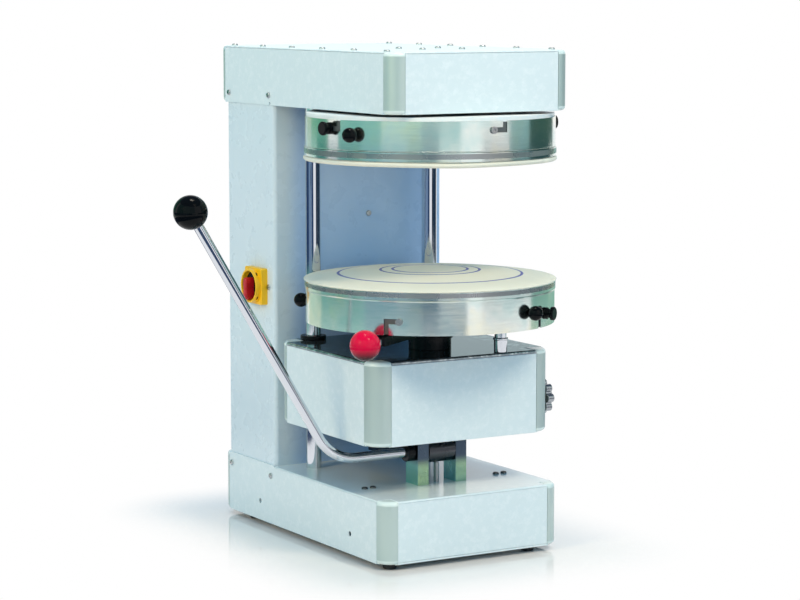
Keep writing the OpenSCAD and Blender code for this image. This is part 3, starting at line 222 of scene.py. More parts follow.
# Cards: curved boards in three tiers, a ring overhead and one on the floor, which show only in mirrors.
# The tiers serve the lower drum, the columns and the upper drum; the white room shows between the cards.
# An upright card stands between two directions, in degrees to the right of the camera.
card_top = 2.6
card_reach = 2.6
card_steps = 48
tier_columns = 0.16
tier_high = 0.47
cards = {
    "low_rear_left": (-146.0, -116.0, 0.0, tier_columns, (0.50, 0.64, 0.50)),
    "low_left": (-116.0, -60.0, 0.0, tier_columns, (0.18, 0.44, 0.38)),
    "low_beside": (-60.0, -8.0, 0.0, tier_columns, (0.15, 0.30, 0.33)),
    "low_front": (-8.0, 32.0, 0.0, tier_columns, (0.03, 0.13, 0.20)),
    "low_right": (102.0, 168.0, 0.0, tier_columns, (0.24, 0.46, 0.38)),
    "column_left": (-124.0, -64.0, tier_columns, tier_high, (0.03, 0.06, 0.14)),
    "column_beside": (-64.0, -20.0, tier_columns, tier_high, (0.18, 0.27, 0.42)),
    "column_front": (-20.0, 7.0, tier_columns, tier_high, (0.03, 0.06, 0.14)),
    "column_right": (46.0, 136.0, tier_columns, tier_high, (0.02, 0.04, 0.07)),
    "high_rear_left": (-156.0, -136.0, tier_high, card_top, (0.40, 0.55, 0.47)),
    "high_left": (-136.0, -104.0, tier_high, card_top, (0.13, 0.40, 0.29)),
    "high_front_left": (-90.0, -44.0, tier_high, card_top, (0.25, 0.56, 0.48)),
    "high_beside": (-44.0, -8.0, tier_high, card_top, (0.54, 0.78, 0.71)),
    "high_front": (-8.0, 26.0, tier_high, card_top, (0.46, 0.64, 0.63)),
    "high_front_right": (74.0, 98.0, tier_high, card_top, (0.31, 0.50, 0.50)),
    "high_right": (98.0, 146.0, tier_high, card_top, (0.05, 0.11, 0.09)),
}
flat_cards = {
    "ceiling": (0.45, card_reach, card_top, (0.10, 0.13, 0.19)),
    "ground": (0.95, 1.8, 0.001, (0.05, 0.08, 0.15)),
}
camera_polar = math.degrees(math.atan2(towards_camera.y, towards_camera.x))


def card(name, first, last, ends, middle, colour):
    """A card spun between two directions from the line between two ends, seen in mirrors alone."""
    card_paint = bpy.data.materials.new(name)
    card_paint.use_nodes = True
    card_tree = card_paint.node_tree
    card_glow = put(card_tree, "ShaderNodeEmission", Color=(*colour, 1.0), Strength=1.0)
    card_tree.links.new(card_glow.outputs[0], card_tree.nodes["Material Output"].inputs["Surface"])
    bm = bmesh.new()
    polar = math.radians(camera_polar + first)
    out = Vector((math.cos(polar), math.sin(polar), 0.0))
    corners = [bm.verts.new(middle + out * reach + Vector((0.0, 0.0, level))) for reach, level in ends]
    edge = bm.edges.new(corners)
    bmesh.ops.spin(bm, geom=[*edge.verts, edge], cent=middle, axis=(0.0, 0.0, 1.0),
                   angle=math.radians(last - first), steps=card_steps)
    piece = stage_piece(bm, name, card_paint)
    for ray in ("camera", "diffuse", "shadow", "transmission", "volume_scatter"):
        setattr(piece, "visible_" + ray, False)


for card_name, (first, last, low, high, colour) in cards.items():
    card("card_" + card_name, first, last, ((card_reach, low), (card_reach, high)), axis, colour)
for card_name, (opening, reach, level, colour) in flat_cards.items():
    card("card_" + card_name, 0.0, 360.0, ((opening, level), (reach, level)), base_middle, colour)


# Base box: sheet steel panels, powder coated pale grey, screwed between the corner profiles.
# The top plate has a smoother coat than the sides and shows a soft image of what stands on it.
def group(name, inputs, outputs):
    """A shader node group with named number or vector inputs and number outputs."""
    made = bpy.data.node_groups.new(name, "ShaderNodeTree")
    for plug_name, kind, value in inputs:
        plug = made.interface.new_socket(plug_name, in_out="INPUT", socket_type="NodeSocket" + kind)
        if value is not None:
            plug.default_value = value
    for plug_name in outputs:
        made.interface.new_socket(plug_name, in_out="OUTPUT", socket_type="NodeSocketFloat")
    return made, put(made, "NodeGroupInput"), put(made, "NodeGroupOutput")


# Surface skin: a broad uneven shade, and the fine peel of a coat, a casting or a moulding
skin, skin_in, skin_out = group("surface_skin", [("Vector", "Vector", None), ("Grain", "Float", 900.0)],
                                ["Shade", "Peel"])
skin_broad = put(skin, "ShaderNodeTexNoise", Scale=5.0, Detail=3.0, Roughness=0.55)
skin_fine = put(skin, "ShaderNodeTexNoise", Detail=2.0, Roughness=0.5)
skin.links.new(skin_in.outputs["Vector"], skin_broad.inputs["Vector"])
skin.links.new(skin_in.outputs["Vector"], skin_fine.inputs["Vector"])
skin.links.new(skin_in.outputs["Grain"], skin_fine.inputs["Scale"])
skin.links.new(skin_broad.outputs["Fac"], skin_out.inputs["Shade"])
skin.links.new(skin_fine.outputs["Fac"], skin_out.inputs["Peel"])

# Handling marks: soft patches and faint wiped streaks that change the gloss
marks, marks_in, marks_out = group("handling_marks", [("Vector", "Vector", None)], ["Mark"])
marks_patch = put(marks, "ShaderNodeTexNoise", Scale=14.0, Detail=5.0, Roughness=0.6)
marks_wipe = put(marks, "ShaderNodeTexNoise", Scale=38.0, Detail=3.0, Distortion=0.2)
marks.links.new(marks_in.outputs["Vector"], marks_patch.inputs["Vector"])
marks.links.new(marks_in.outputs["Vector"], marks_wipe.inputs["Vector"])
marks_both = reckon(marks, "MULTIPLY", marks_patch.outputs["Fac"], marks_wipe.outputs["Fac"])
marks.links.new(reckon(marks, "MULTIPLY", marks_both, 2.0), marks_out.inputs["Mark"])

# Edge wear: broken rubbing along the rounded edges that a piece marks with its rim value
wear, wear_in, wear_out = group("edge_wear", [("Vector", "Vector", None), ("Rim", "Float", 0.0)], ["Wear"])
wear_break = put(wear, "ShaderNodeTexNoise", Scale=90.0, Detail=4.0, Roughness=0.7)
wear.links.new(wear_in.outputs["Vector"], wear_break.inputs["Vector"])
wear_spot = put(wear, "ShaderNodeMapRange", From_Min=0.48, From_Max=0.68)
wear.links.new(wear_break.outputs["Fac"], wear_spot.inputs["Value"])
wear_rim = reckon(wear, "MULTIPLY", wear_spot.outputs["Result"], wear_in.outputs["Rim"])
wear.links.new(wear_rim, wear_out.inputs["Wear"])


def finish(name, roughness, metallic=0.0):
    """A material, its node tree, its Principled shader and the plug of the Object coordinates."""
    made = bpy.data.materials.new(name)
    made.use_nodes = True
    shader = made.node_tree.nodes["Principled BSDF"]
    shader.inputs["Roughness"].default_value = roughness
    shader.inputs["Metallic"].default_value = metallic
    return made, made.node_tree, shader, own_place(made.node_tree)


def use_group(tree, made, vector, **numbers):
    """Places a node group on a coordinate plug."""
    node = put(tree, "ShaderNodeGroup", node_tree=made)
    for key, value in numbers.items():
        node.inputs[key].default_value = value
    tree.links.new(vector, node.inputs["Vector"])
    return node


shade_low, shade_high = 0.3, 0.7


def spread(tree, mask, low, high, target, start=shade_low, end=shade_high):
    """Maps a mask to a range of values on a shader input."""
    node = put(tree, "ShaderNodeMapRange", From_Min=start, From_Max=end, To_Min=low, To_Max=high)
    tree.links.new(mask, node.inputs["Value"])
    tree.links.new(node.outputs["Result"], target)


def tones(tree, mask, *stops):
    """A colour that runs through several tones along a mask; a stop is a place and a colour."""
    node = put(tree, "ShaderNodeValToRGB")
    ramp = node.color_ramp
    while len(ramp.elements) < len(stops):
        ramp.elements.new(0.5)
    for element, (place, colour) in zip(ramp.elements, stops):
        element.position = place
        element.color = (*colour, 1.0)
    tree.links.new(mask, node.inputs["Fac"])
    return node.outputs["Color"]


def two_tones(tree, mask, dark, light):
    """A colour between two close tones along a mask."""
    return tones(tree, mask, (shade_low, dark), (shade_high, light))


# Places of the colour plugs on a Mix node, where several plugs share a name
mix_under, mix_over, mix_result = 6, 7, 2


def blend_in(tree, mask, under, over):
    """A colour, or another tone's plug, over a tone where a mask says so."""
    node = put(tree, "ShaderNodeMix", data_type="RGBA")
    tree.links.new(mask, node.inputs["Factor"])
    tree.links.new(under, node.inputs[mix_under])
    if isinstance(over, tuple):
        node.inputs[mix_over].default_value = (*over, 1.0)
    else:
        tree.links.new(over, node.inputs[mix_over])
    return node.outputs[mix_result]


def relief(tree, height, shader, depth):
    """Feeds a height mask through a Bump node to a shader's normal."""
    bump = put(tree, "ShaderNodeBump", Distance=depth)
    tree.links.new(height, bump.inputs["Height"])
    tree.links.new(bump.outputs["Normal"], shader.inputs["Normal"])


def coated(name, light, dark, gloss, grain, depth, worn=None):
    """A sprayed or moulded finish: two close tones, uneven gloss, a fine peel and rubbed edges."""
    made, tree, shader, place = finish(name, gloss[0])
    peel = use_group(tree, skin, place, Grain=grain)
    wiped = use_group(tree, marks, place)
    colour = two_tones(tree, peel.outputs["Shade"], dark, light)
    if worn:
        rubbed = use_group(tree, wear, place)
        rim = put(tree, "ShaderNodeAttribute", attribute_name="rim")
        tree.links.new(rim.outputs["Fac"], rubbed.inputs["Rim"])
        colour = blend_in(tree, rubbed.outputs["Wear"], colour, worn)
    tree.links.new(colour, shader.inputs["Base Color"])
    spread(tree, wiped.outputs["Mark"], *gloss, shader.inputs["Roughness"])
    relief(tree, peel.outputs["Peel"], shader, depth)
    return made, shader


merge_within = 1e-6
flat_within = math.radians(0.4)
sharp_from = math.radians(40.0)
body_of = {node: body for body, nodes in frame["record"]["behaviour"]["bodies"].items() for node in nodes}


def add_piece(bm, name, material, slot, body, *nodes, flat=True):
    """Makes a finished object of a bmesh, that rides on a body and stands for CAD nodes."""
    bmesh.ops.remove_doubles(bm, verts=bm.verts, dist=merge_within)
    bmesh.ops.recalc_face_normals(bm, faces=bm.faces)
    mesh = bpy.data.meshes.new(name)
    bm.to_mesh(mesh)
    bm.free()
    mesh.materials.append(material)
    mesh.shade_smooth()
    mesh.set_sharp_from_angle(angle=sharp_from)
    piece = bpy.data.objects.new(name, mesh)
    scene.collection.objects.link(piece)
    if flat:
        piece.modifiers.new("even_shading", "WEIGHTED_NORMAL").keep_sharp = True
    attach(piece, body)
    if nodes:
        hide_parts(*nodes)
    return piece


def dress(material, *nodes):
    """Gives CAD nodes whose shape is right a better material."""
    for node in nodes:
        node_mesh = frame["nodes"][node].data
        node_mesh.materials.clear()
        node_mesh.materials.append(material)


def rounded(node, material, slot, radius, where=None, steps=3):
    """A merged copy of a CAD node with its sharp edges rounded, which stands for the node."""
    bm = bmesh.new()
    bm.from_mesh(frame["nodes"][node].data)
    bmesh.ops.remove_doubles(bm, verts=bm.verts, dist=merge_within)
    bmesh.ops.dissolve_limit(bm, angle_limit=flat_within, verts=bm.verts, edges=bm.edges)
    rim = bm.verts.layers.float.new("rim")
    lean = bm.verts.layers.float.new("lean")
    sharp = [edge for edge in bm.edges if len(edge.link_faces) == 2
             and edge.calc_face_angle() > sharp_from and (where is None or where(edge))]
    turned_over = bmesh.ops.bevel(bm, geom=sharp, offset=radius, offset_type="OFFSET", segments=steps,
                                  profile=0.5, affect="EDGES", material=-1, clamp_overlap=True)
    for face in turned_over["faces"]:
        for vert in face.verts:
            vert[rim] = 1.0
    bm.normal_update()
    for vert in bm.verts:
        vert[lean] = abs(vert.normal.x)
    return add_piece(bm, node + ".finished", material, slot, body_of[node], node)


def on_top(node):
    """Picks the outer edges round the top face of a plate, and not those of its holes."""
    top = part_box(node)[1][2]
    level_within = 1e-5
    shortest_side = 0.006

    def picked(edge):
        ends = [vert.co for vert in edge.verts]
        level = all(abs(end.z - top) < level_within for end in ends)
        straight = min(abs(ends[0].x - ends[1].x), abs(ends[0].y - ends[1].y)) < merge_within
        return level and straight and (ends[0] - ends[1]).length > shortest_side

    return picked


panel_light, panel_dark, panel_worn = (0.735, 0.812, 0.825), (0.727, 0.804, 0.817), (0.80, 0.86, 0.87)
panel_paint = coated("panel_paint", panel_light, panel_dark, gloss=(0.35, 0.36), grain=900.0, depth=0.000003,
                     worn=panel_worn)[0]
top_paint, top_shader = coated("top_plate_paint", panel_light, panel_dark, gloss=(0.15, 0.19), grain=500.0,
                               depth=0.000006, worn=panel_worn)
top_shader.inputs["Specular IOR Level"].default_value = 0.65
for panel in ("base_front_panel", "base_side_panels", "base_rear_panel", "base_bottom_plate"):
    rounded(panel, panel_paint, "panel_paint", radius=0.0007, steps=2)
rounded("base_top_plate", top_paint, "panel_paint", radius=0.0024, where=on_top("base_top_plate"), steps=4)


# Corner profiles: satin anodised extrusions with a paler moulded cap at each rounded end.
# The same kind of section stands at the corners of the base, the carriage and the head.
profile_cap = 0.0065
profile_light, profile_dark, cap_tone = (0.555, 0.65, 0.625), (0.51, 0.61, 0.585), (0.70, 0.79, 0.76)
profile_gloss, cap_gloss = 0.38, 0.20
profile_metal = 0.45


def drawn_out(tree, place, scale):
    """Coordinates stretched along the direction in which a metal was drawn or rolled."""
    lay = put(tree, "ShaderNodeMapping", Scale=scale)
    tree.links.new(place, lay.inputs["Vector"])
    return lay.outputs["Vector"]


def coordinate(tree, place, letter):
    """One of the three numbers of a coordinate plug."""
    split = put(tree, "ShaderNodeSeparateXYZ")
    tree.links.new(place, split.inputs["Vector"])
    return split.outputs[letter]


def profile_finish(node):
    """Satin metal drawn along the profile, with a cap of another finish at each end."""
    low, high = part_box(node)
    made, tree, shader, place = finish(node, profile_gloss, metallic=profile_metal)
    peel = use_group(tree, skin, drawn_out(tree, place, (1.0, 1.0, 0.03)), Grain=1500.0)
    level = coordinate(tree, place, "Z")
    above = reckon(tree, "GREATER_THAN", level, high[2] - profile_cap)
    below = reckon(tree, "LESS_THAN", level, low[2] + profile_cap)
    ends = reckon(tree, "MAXIMUM", above, below)
    colour = two_tones(tree, peel.outputs["Shade"], profile_dark, profile_light)
    tree.links.new(blend_in(tree, ends, colour, cap_tone), shader.inputs["Base Color"])
    spread(tree, ends, profile_metal, 0.0, shader.inputs["Metallic"], start=0.0, end=1.0)
    spread(tree, ends, profile_gloss, cap_gloss, shader.inputs["Roughness"], start=0.0, end=1.0)
    relief(tree, peel.outputs["Peel"], shader, depth=0.00002)
    return made


for profile in ("base_corner_profiles", "carriage_corner_profiles", "head_corner_profiles"):
    dress(profile_finish(profile), profile)


# Feet: moulded black rubber, screwed under the base.
# The drive belt inside the head is the same rubber.
black_rubber = coated("black_rubber", (0.022, 0.022, 0.024), (0.012, 0.012, 0.014), gloss=(0.60, 0.78),
                      grain=1400.0, depth=0.00012)[0]
rounded("rubber_feet", black_rubber, "black_rubber", radius=0.0012)
dress(black_rubber, "drive_belt")


# Pivot beam and inner plates: bright mild steel bar and galvanised sheet with a rolled grain.
# They carry the cheeks under the base top and the drive inside the head.
def metal(name, light, dark, gloss, grain, depth, drawn=(1.0, 1.0, 1.0)):
    """A bare metal: two close tones, uneven gloss, and a grain drawn out along one direction."""
    made, tree, shader, place = finish(name, gloss[0], metallic=1.0)
    peel = use_group(tree, skin, drawn_out(tree, place, drawn), Grain=grain)
    wiped = use_group(tree, marks, place)
    tree.links.new(two_tones(tree, peel.outputs["Shade"], dark, light), shader.inputs["Base Color"])
    spread(tree, wiped.outputs["Mark"], *gloss, shader.inputs["Roughness"])
    relief(tree, peel.outputs["Peel"], shader, depth)
    return made


plain_steel = metal("plain_steel", (0.48, 0.49, 0.51), (0.36, 0.37, 0.39), gloss=(0.22, 0.38), grain=500.0,
                    depth=0.00004, drawn=(0.15, 1.0, 1.0))
rounded("pivot_beam", plain_steel, "plain_steel", radius=0.0008)
dress(plain_steel, "head_floor_plate", "motor_pulley")


# Pivot cheeks and roller bracket: milled steel blocks with a yellow passivated zinc coat.
# The coat shimmers at random from straw yellow over green to teal. Its side faces are painted a brighter
# teal than its front faces as painted light, and its upper half is painted nearly black as painted shade
# from the carriage above.
cheek_shade_from, cheek_shade_to = 0.026, 0.044
cheek_shade_tone = (0.10, 0.14, 0.19)
front_teal, front_straw = (0.20, 0.44, 0.40), (0.42, 0.58, 0.30)
side_teal_lit, side_green_lit = (0.30, 0.66, 0.68), (0.44, 0.74, 0.66)
zinc_from, zinc_to = 0.32, 0.66
zinc_gloss = (0.20, 0.30)
zinc_plate, tree, zinc_shader, zinc_place = finish("zinc_plate", roughness=0.22, metallic=1.0)
zinc_cloud = put(tree, "ShaderNodeTexNoise", Scale=16.0, Detail=2.0, Roughness=0.5)
tree.links.new(zinc_place, zinc_cloud.inputs["Vector"])
zinc_front = tones(tree, zinc_cloud.outputs["Fac"], (zinc_from, front_teal), (zinc_to, front_straw))
zinc_side_lit = tones(tree, zinc_cloud.outputs["Fac"], (zinc_from, side_teal_lit), (zinc_to, side_green_lit))
# Partly painted light: faces turned to the side (lean, from the normal's x) take brighter tones than the
# front faces, besides the coat's own tint.
zinc_lean = put(tree, "ShaderNodeAttribute", attribute_name="lean")
zinc_shimmer_and_side_light = blend_in(tree, zinc_lean.outputs["Fac"], zinc_front, zinc_side_lit)
cheek_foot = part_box("pivot_cheeks")[0][2]
zinc_level = coordinate(tree, zinc_place, "Z")
# Painted shade: the cheeks turn nearly black towards the top, where the carriage shades them.
zinc_upper_shade = soft_step(tree, zinc_level, cheek_foot + cheek_shade_from, cheek_foot + cheek_shade_to)
zinc_colour = blend_in(tree, zinc_upper_shade, zinc_shimmer_and_side_light, cheek_shade_tone)
tree.links.new(zinc_colour, zinc_shader.inputs["Base Color"])
zinc_peel = use_group(tree, skin, zinc_place, Grain=420.0)
zinc_wiped = use_group(tree, marks, zinc_place)
spread(tree, zinc_wiped.outputs["Mark"], *zinc_gloss, zinc_shader.inputs["Roughness"])
relief(tree, zinc_peel.outputs["Peel"], zinc_shader, depth=0.00003)
rounded("pivot_cheeks", zinc_plate, "zinc_plate", radius=0.0009)
rounded("roller_bracket", zinc_plate, "zinc_plate", radius=0.0008)


# Columns, lever rod, posts and rods: ground steel with hard chrome, polished.
# Only faint wiping marks break the mirror.
chrome = metal("chrome_steel", (0.72, 0.75, 0.80), (0.67, 0.70, 0.75), gloss=(0.05, 0.09), grain=200.0,
               depth=0.000002)
dress(chrome, "guide_columns", "lever_rod", "roller_left", "roller_right")
rounded("guide_posts", chrome, "chrome_steel", radius=0.0008)
rounded("adjuster_rod", chrome, "chrome_steel", radius=0.0005, steps=2)


# Casing: one folded sheet with a flat cover behind, painted a glossier grey; the front face is tinted blue
# as painted shade.
# It carries the switch and hides the motor.
casing_paint, casing_shader = coated("casing_paint", (0.705, 0.785, 0.825), (0.690, 0.770, 0.810),
                                     gloss=(0.27, 0.28), grain=900.0, depth=0.000003)
# Painted shade: the front face between the plates is tinted blue, for the cool shade that falls there.
casing_shade_blue = (0.48, 0.66, 0.92)
shade_blue_back, shade_blue_front = 0.010, 0.001
shade_blue_from, shade_blue_to = 0.016, 0.060
casing_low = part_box("casing_shell")[0]


def lay_over(shader, mask, colour):
    """Lays a colour over a finish's own tone where a mask says so."""
    tree = shader.id_data
    tone = shader.inputs["Base Color"].links[0].from_socket
    tree.links.new(blend_in(tree, mask, tone, colour), shader.inputs["Base Color"])


tree = casing_paint.node_tree
casing_place = own_place(tree)
casing_front = soft_step(tree, coordinate(tree, casing_place, "Y"), casing_low[1] + shade_blue_back,
                         casing_low[1] + shade_blue_front)
casing_inward = soft_step(tree, coordinate(tree, casing_place, "X"), casing_low[0] + shade_blue_from,
                          casing_low[0] + shade_blue_to)
lay_over(casing_shader, reckon(tree, "MULTIPLY", casing_front, casing_inward), casing_shade_blue)
dress(casing_paint, "casing_shell")
rounded("casing_rear_cover", casing_paint, "casing_paint", radius=0.0006, steps=2)


# Black fittings: polished ball and thumb knobs, moulded on steel inserts.
# Column bushes, lever collar and adjuster hub are machined from black nylon.
black_knob, knob_shader = coated("black_knob", (0.0022, 0.0032, 0.0042), (0.0016, 0.0022, 0.0032),
                                 gloss=(0.07, 0.12), grain=260.0, depth=0.000004)
black_nylon, nylon_shader = coated("black_nylon", (0.006, 0.007, 0.010), (0.004, 0.005, 0.007),
                                   gloss=(0.20, 0.32), grain=600.0, depth=0.00002)
knob_shader.inputs["Specular IOR Level"].default_value = 0.12
nylon_shader.inputs["Specular IOR Level"].default_value = 0.22
dress(black_knob, "lever_ball", "upper_band_knobs", "lower_band_knobs")
for knob in ("upper_pin_knobs", "lower_pin_knobs"):
    rounded(knob, black_knob, "black_knob", radius=0.0006, steps=2)
rounded("lever_collar", black_nylon, "black_nylon", radius=0.0010)
rounded("column_bushes", black_nylon, "black_nylon", radius=0.0012)
rounded("adjuster_hub", black_nylon, "black_nylon", radius=0.0015)


# Lift: plate cam and its roller, hardened, between the cheeks on the lever shaft; they are painted nearly
# black as painted shade for the shade between the cheeks.
# The bayonet pins in the two plates are plain turned steel.
# Painted shade: the cam and roller take a nearly black steel where they sit in shade.
shade_dark_steel = metal("shaded_cam_steel", (0.12, 0.125, 0.14), (0.07, 0.075, 0.085), gloss=(0.20, 0.32), grain=500.0,
                   depth=0.00003)
for hardened in ("lifting_cam", "cam_roller"):
    rounded(hardened, shade_dark_steel, "plain_steel", radius=0.0005, steps=2)
for pin in ("lower_pins", "upper_pins"):
    rounded(pin, plain_steel, "plain_steel", radius=0.0004, steps=2)


# Carriage box: the same coated panels as the base, under a thicker top plate.
# The top plate has a dark metallic coat, polished so that it mirrors the drum above it.
for panel in ("carriage_front_panel", "carriage_side_panels", "carriage_rear_panel"):
    rounded(panel, panel_paint, "panel_paint", radius=0.0007, steps=2)
deck_paint, deck_shader = coated("carriage_deck_paint", (0.22, 0.26, 0.29), (0.20, 0.24, 0.27),
                                 gloss=(0.06, 0.09), grain=260.0, depth=0.000003, worn=panel_worn)
deck_shader.inputs["Metallic"].default_value = 0.85
deck_shader.inputs["Specular Tint"].default_value = (0.42, 0.54, 0.56, 1.0)
rounded("carriage_top_plate", deck_paint, "panel_paint", radius=0.0030,
        where=on_top("carriage_top_plate"), steps=4)


# Adjuster ball: polished red moulding, pressed on the chrome rod.
# Its underside is painted nearly black as painted shade.
red_ball, red_shader = coated("red_knob", (0.66, 0.003, 0.045), (0.62, 0.002, 0.040), gloss=(0.06, 0.10),
                              grain=260.0, depth=0.000004)
red_shader.inputs["Specular IOR Level"].default_value = 0.25
# Painted shade: the ball darkens towards the bottom.
under_shade_from, under_shade_to, under_shade_share = 0.023, 0.004, 0.95
under_shade_tone = (0.012, 0.002, 0.006)
ball_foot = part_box("adjuster_ball")[0][2]
tree = red_ball.node_tree
ball_level = coordinate(tree, own_place(tree), "Z")
ball_under_shade = soft_step(tree, ball_level, ball_foot + under_shade_from, ball_foot + under_shade_to, under_shade_share)
lay_over(red_shader, ball_under_shade, under_shade_tone)
dress(red_ball, "adjuster_ball")


# Drum plates and drive: cast aluminium, inside the drums and the head; the lower plate is painted dark as
# painted shade under the drum and in its slot.
# The upper pan is painted white on the shoulder that shows above its band, and dark behind the band as
# painted shade inside the band.
cast_aluminium = metal("cast_aluminium", (0.60, 0.61, 0.62), (0.50, 0.51, 0.53), gloss=(0.30, 0.46),
                       grain=350.0, depth=0.00008)
dress(cast_aluminium, "roller_head", "spindle_housing", "drive_motor")
# Painted shade: the lower plate takes a dark casting tone for the shade under the drum.
shade_dark_casting = metal("shade_dark_casting", (0.17, 0.18, 0.19), (0.12, 0.13, 0.14), gloss=(0.34, 0.48), grain=350.0,
                     depth=0.00006)
dress(shade_dark_casting, "lower_plate")
pan_paint, pan_shader = coated("pan_paint", (0.86, 0.87, 0.85), (0.83, 0.84, 0.82), gloss=(0.30, 0.38),
                               grain=600.0, depth=0.00003, worn=panel_worn)
# Painted shade: the pan is dark below the band's top edge, where the band shades it.
pan_shade_tone = (0.10, 0.11, 0.11)
pan_shade_below = 0.0015
upper_band_low, upper_band_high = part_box("upper_band")
tree = pan_paint.node_tree
pan_level = coordinate(tree, own_place(tree), "Z")
lay_over(pan_shader, reckon(tree, "LESS_THAN", pan_level, upper_band_high[2] - pan_shade_below), pan_shade_tone)
rounded("upper_pan", pan_paint, "cast_aluminium", radius=0.0012)


# Drum bands: bright rolled sheet, zinc coated, bent to a ring, with a faint green to straw tint.
# A lap seam closes the lower band near the front; each band is rolled to a bead next to its strap.
def about_axis(tree, place):
    """Coordinates from the middle of the drums."""
    lay = put(tree, "ShaderNodeMapping", Location=-axis)
    tree.links.new(place, lay.inputs["Vector"])
    return lay.outputs["Vector"]


band_teal, band_bright, band_straw = (0.66, 0.82, 0.80), (0.82, 0.88, 0.84), (0.90, 0.90, 0.76)
band_gloss = (0.12, 0.19)
band_sheet, tree, band_shader, band_place = finish("band_sheet", roughness=0.16, metallic=1.0)
band_middle = about_axis(tree, band_place)
band_cloud = put(tree, "ShaderNodeTexNoise", Scale=12.0, Detail=3.0, Roughness=0.6)
tree.links.new(band_middle, band_cloud.inputs["Vector"])
band_lines = use_group(tree, skin, drawn_out(tree, band_middle, (0.12, 0.12, 8.0)), Grain=160.0)
band_colour = tones(tree, band_cloud.outputs["Fac"], (0.34, band_teal), (0.50, band_bright),
                    (0.66, band_straw))
tree.links.new(band_colour, band_shader.inputs["Base Color"])
spread(tree, band_lines.outputs["Peel"], *band_gloss, band_shader.inputs["Roughness"])
relief(tree, band_lines.outputs["Peel"], band_shader, depth=0.00002)
dress(band_sheet, "lower_band", "upper_band")


def turned(bm, profile, steps, first=0.0, sweep=2 * math.pi):
    """Spins a line of radius and height points about the plate axis."""
    along, across = math.cos(first), math.sin(first)
    points = [bm.verts.new((axis.x + r * along, axis.y + r * across, z)) for r, z in profile]
    lines = [bm.edges.new(pair) for pair in zip(points, points[1:])]
    bmesh.ops.spin(bm, geom=points + lines, cent=axis, axis=(0.0, 0.0, 1.0), angle=sweep, steps=steps,
                   use_merge=sweep == 2 * math.pi)


band_out = (drum_high[0] - drum_low[0]) / 2
round_steps = 240
bead_r = 0.0011
bead_sunk = 0.0003
bead_steps = 8
for beaded, bead_z in (("upper_band", upper_band_low[2] + bead_r), ("lower_band", drum_high[2] - bead_r)):
    bead_bm = bmesh.new()
    bead_line = [(band_out - bead_sunk + bead_r * math.sin(a * math.pi / bead_steps),
                  bead_z - bead_r * math.cos(a * math.pi / bead_steps)) for a in range(bead_steps + 1)]
    turned(bead_bm, bead_line, round_steps)
    add_piece(bead_bm, beaded + "_bead", band_sheet, "band_sheet", body_of[beaded], flat=False)
lap_at = math.radians(-125.0)
lap_half = math.radians(0.9)
lap_in, lap_out = band_out - 0.0002, band_out + 0.0004
lap_low, lap_high = drum_low[2] + 0.0006, drum_high[2] - 0.0024
lap_slope = 0.0006
lap_steps = 6
lap_bm = bmesh.new()
lap_ends = [(lap_in, lap_low), (lap_out, lap_low + lap_slope),
            (lap_out, lap_high - lap_slope), (lap_in, lap_high)]
turned(lap_bm, lap_ends, lap_steps, lap_at - lap_half, 2 * lap_half)
bmesh.ops.holes_fill(lap_bm, edges=lap_bm.edges, sides=0)
add_piece(lap_bm, "lower_band_lap", band_sheet, "band_sheet", body_of["lower_band"])


# Straps: perforated steel strip that holds the cloth on each drum.
# Upright slots are punched all round at an even pitch; their floors take the darker plain steel as painted
# shade.
strap_slots = 430
slot_land = 0.00088
slot_depth = 0.0008
slot_draft = 0.00004
strap_wall = 0.0014


def slotted_strap(node, plain_low, plain_high):
    """One slot with its land, repeated round the strap, and a plain back; both margins stay whole."""
    low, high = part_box(node)
    outer = (high[0] - low[0]) / 2
    inner = outer - strap_wall
    pitch = 2 * math.pi / strap_slots
    bm = bmesh.new()
    levels = (low[2], low[2] + plain_low, high[2] - plain_high, high[2])
    sides = [[bm.verts.new((axis.x + outer * math.cos(turn), axis.y + outer * math.sin(turn), level))
              for level in levels] for turn in (-pitch / 2, pitch / 2)]
    lands = [bm.faces.new((sides[0][i], sides[1][i], sides[1][i + 1], sides[0][i + 1])) for i in range(3)]
    bmesh.ops.inset_individual(bm, faces=[lands[1]], thickness=slot_land, use_even_offset=True)
    bmesh.ops.inset_individual(bm, faces=[lands[1]], thickness=slot_draft, depth=-slot_depth,
                               use_even_offset=True)
    # Painted shade: the floor of each slot gets the darker plain steel.
    lands[1].material_index = 1
    bmesh.ops.spin(bm, geom=[*bm.verts, *bm.edges, *bm.faces], cent=axis, axis=(0.0, 0.0, 1.0),
                   angle=pitch * (strap_slots - 1), steps=strap_slots - 1, use_duplicate=True)
    back = [bm.verts.new((axis.x + r * math.cos(pitch / 2), axis.y + r * math.sin(pitch / 2), z))
            for r, z in ((outer, low[2]), (inner, low[2]), (inner, high[2]), (outer, high[2]))]
    back_edges = [bm.edges.new(pair) for pair in zip(back, back[1:])]
    bmesh.ops.spin(bm, geom=back + back_edges, cent=axis, axis=(0.0, 0.0, 1.0), angle=2 * math.pi,
                   steps=strap_slots, use_merge=True)
    strap = add_piece(bm, node + ".slotted", band_sheet, "band_sheet", body_of[node], node, flat=False)
    strap.data.materials.append(plain_steel)


slotted_strap("lower_strap", plain_low=0.0042, plain_high=0.0008)
slotted_strap("upper_strap", plain_low=0.0040, plain_high=0.0016)


# Cloth covers: heavy cream canvas, stretched over each plate and tucked under its strap.
# The lower one is padded to a low crown, with blue rings printed on it to gauge the dough.
cloth_thick = 0.0008
cream_light, cream_dark, flour_white = (0.77, 0.72, 0.59), (0.71, 0.67, 0.54), (0.82, 0.82, 0.73)
flour_share = 0.35
thread_scale = 190.0
ring_radii = (0.1455, 0.0785, 0.0595)
ring_line = 0.0022
ring_ink = (0.015, 0.03, 0.34)
ink_change, ink_least = 0.7, 0.55


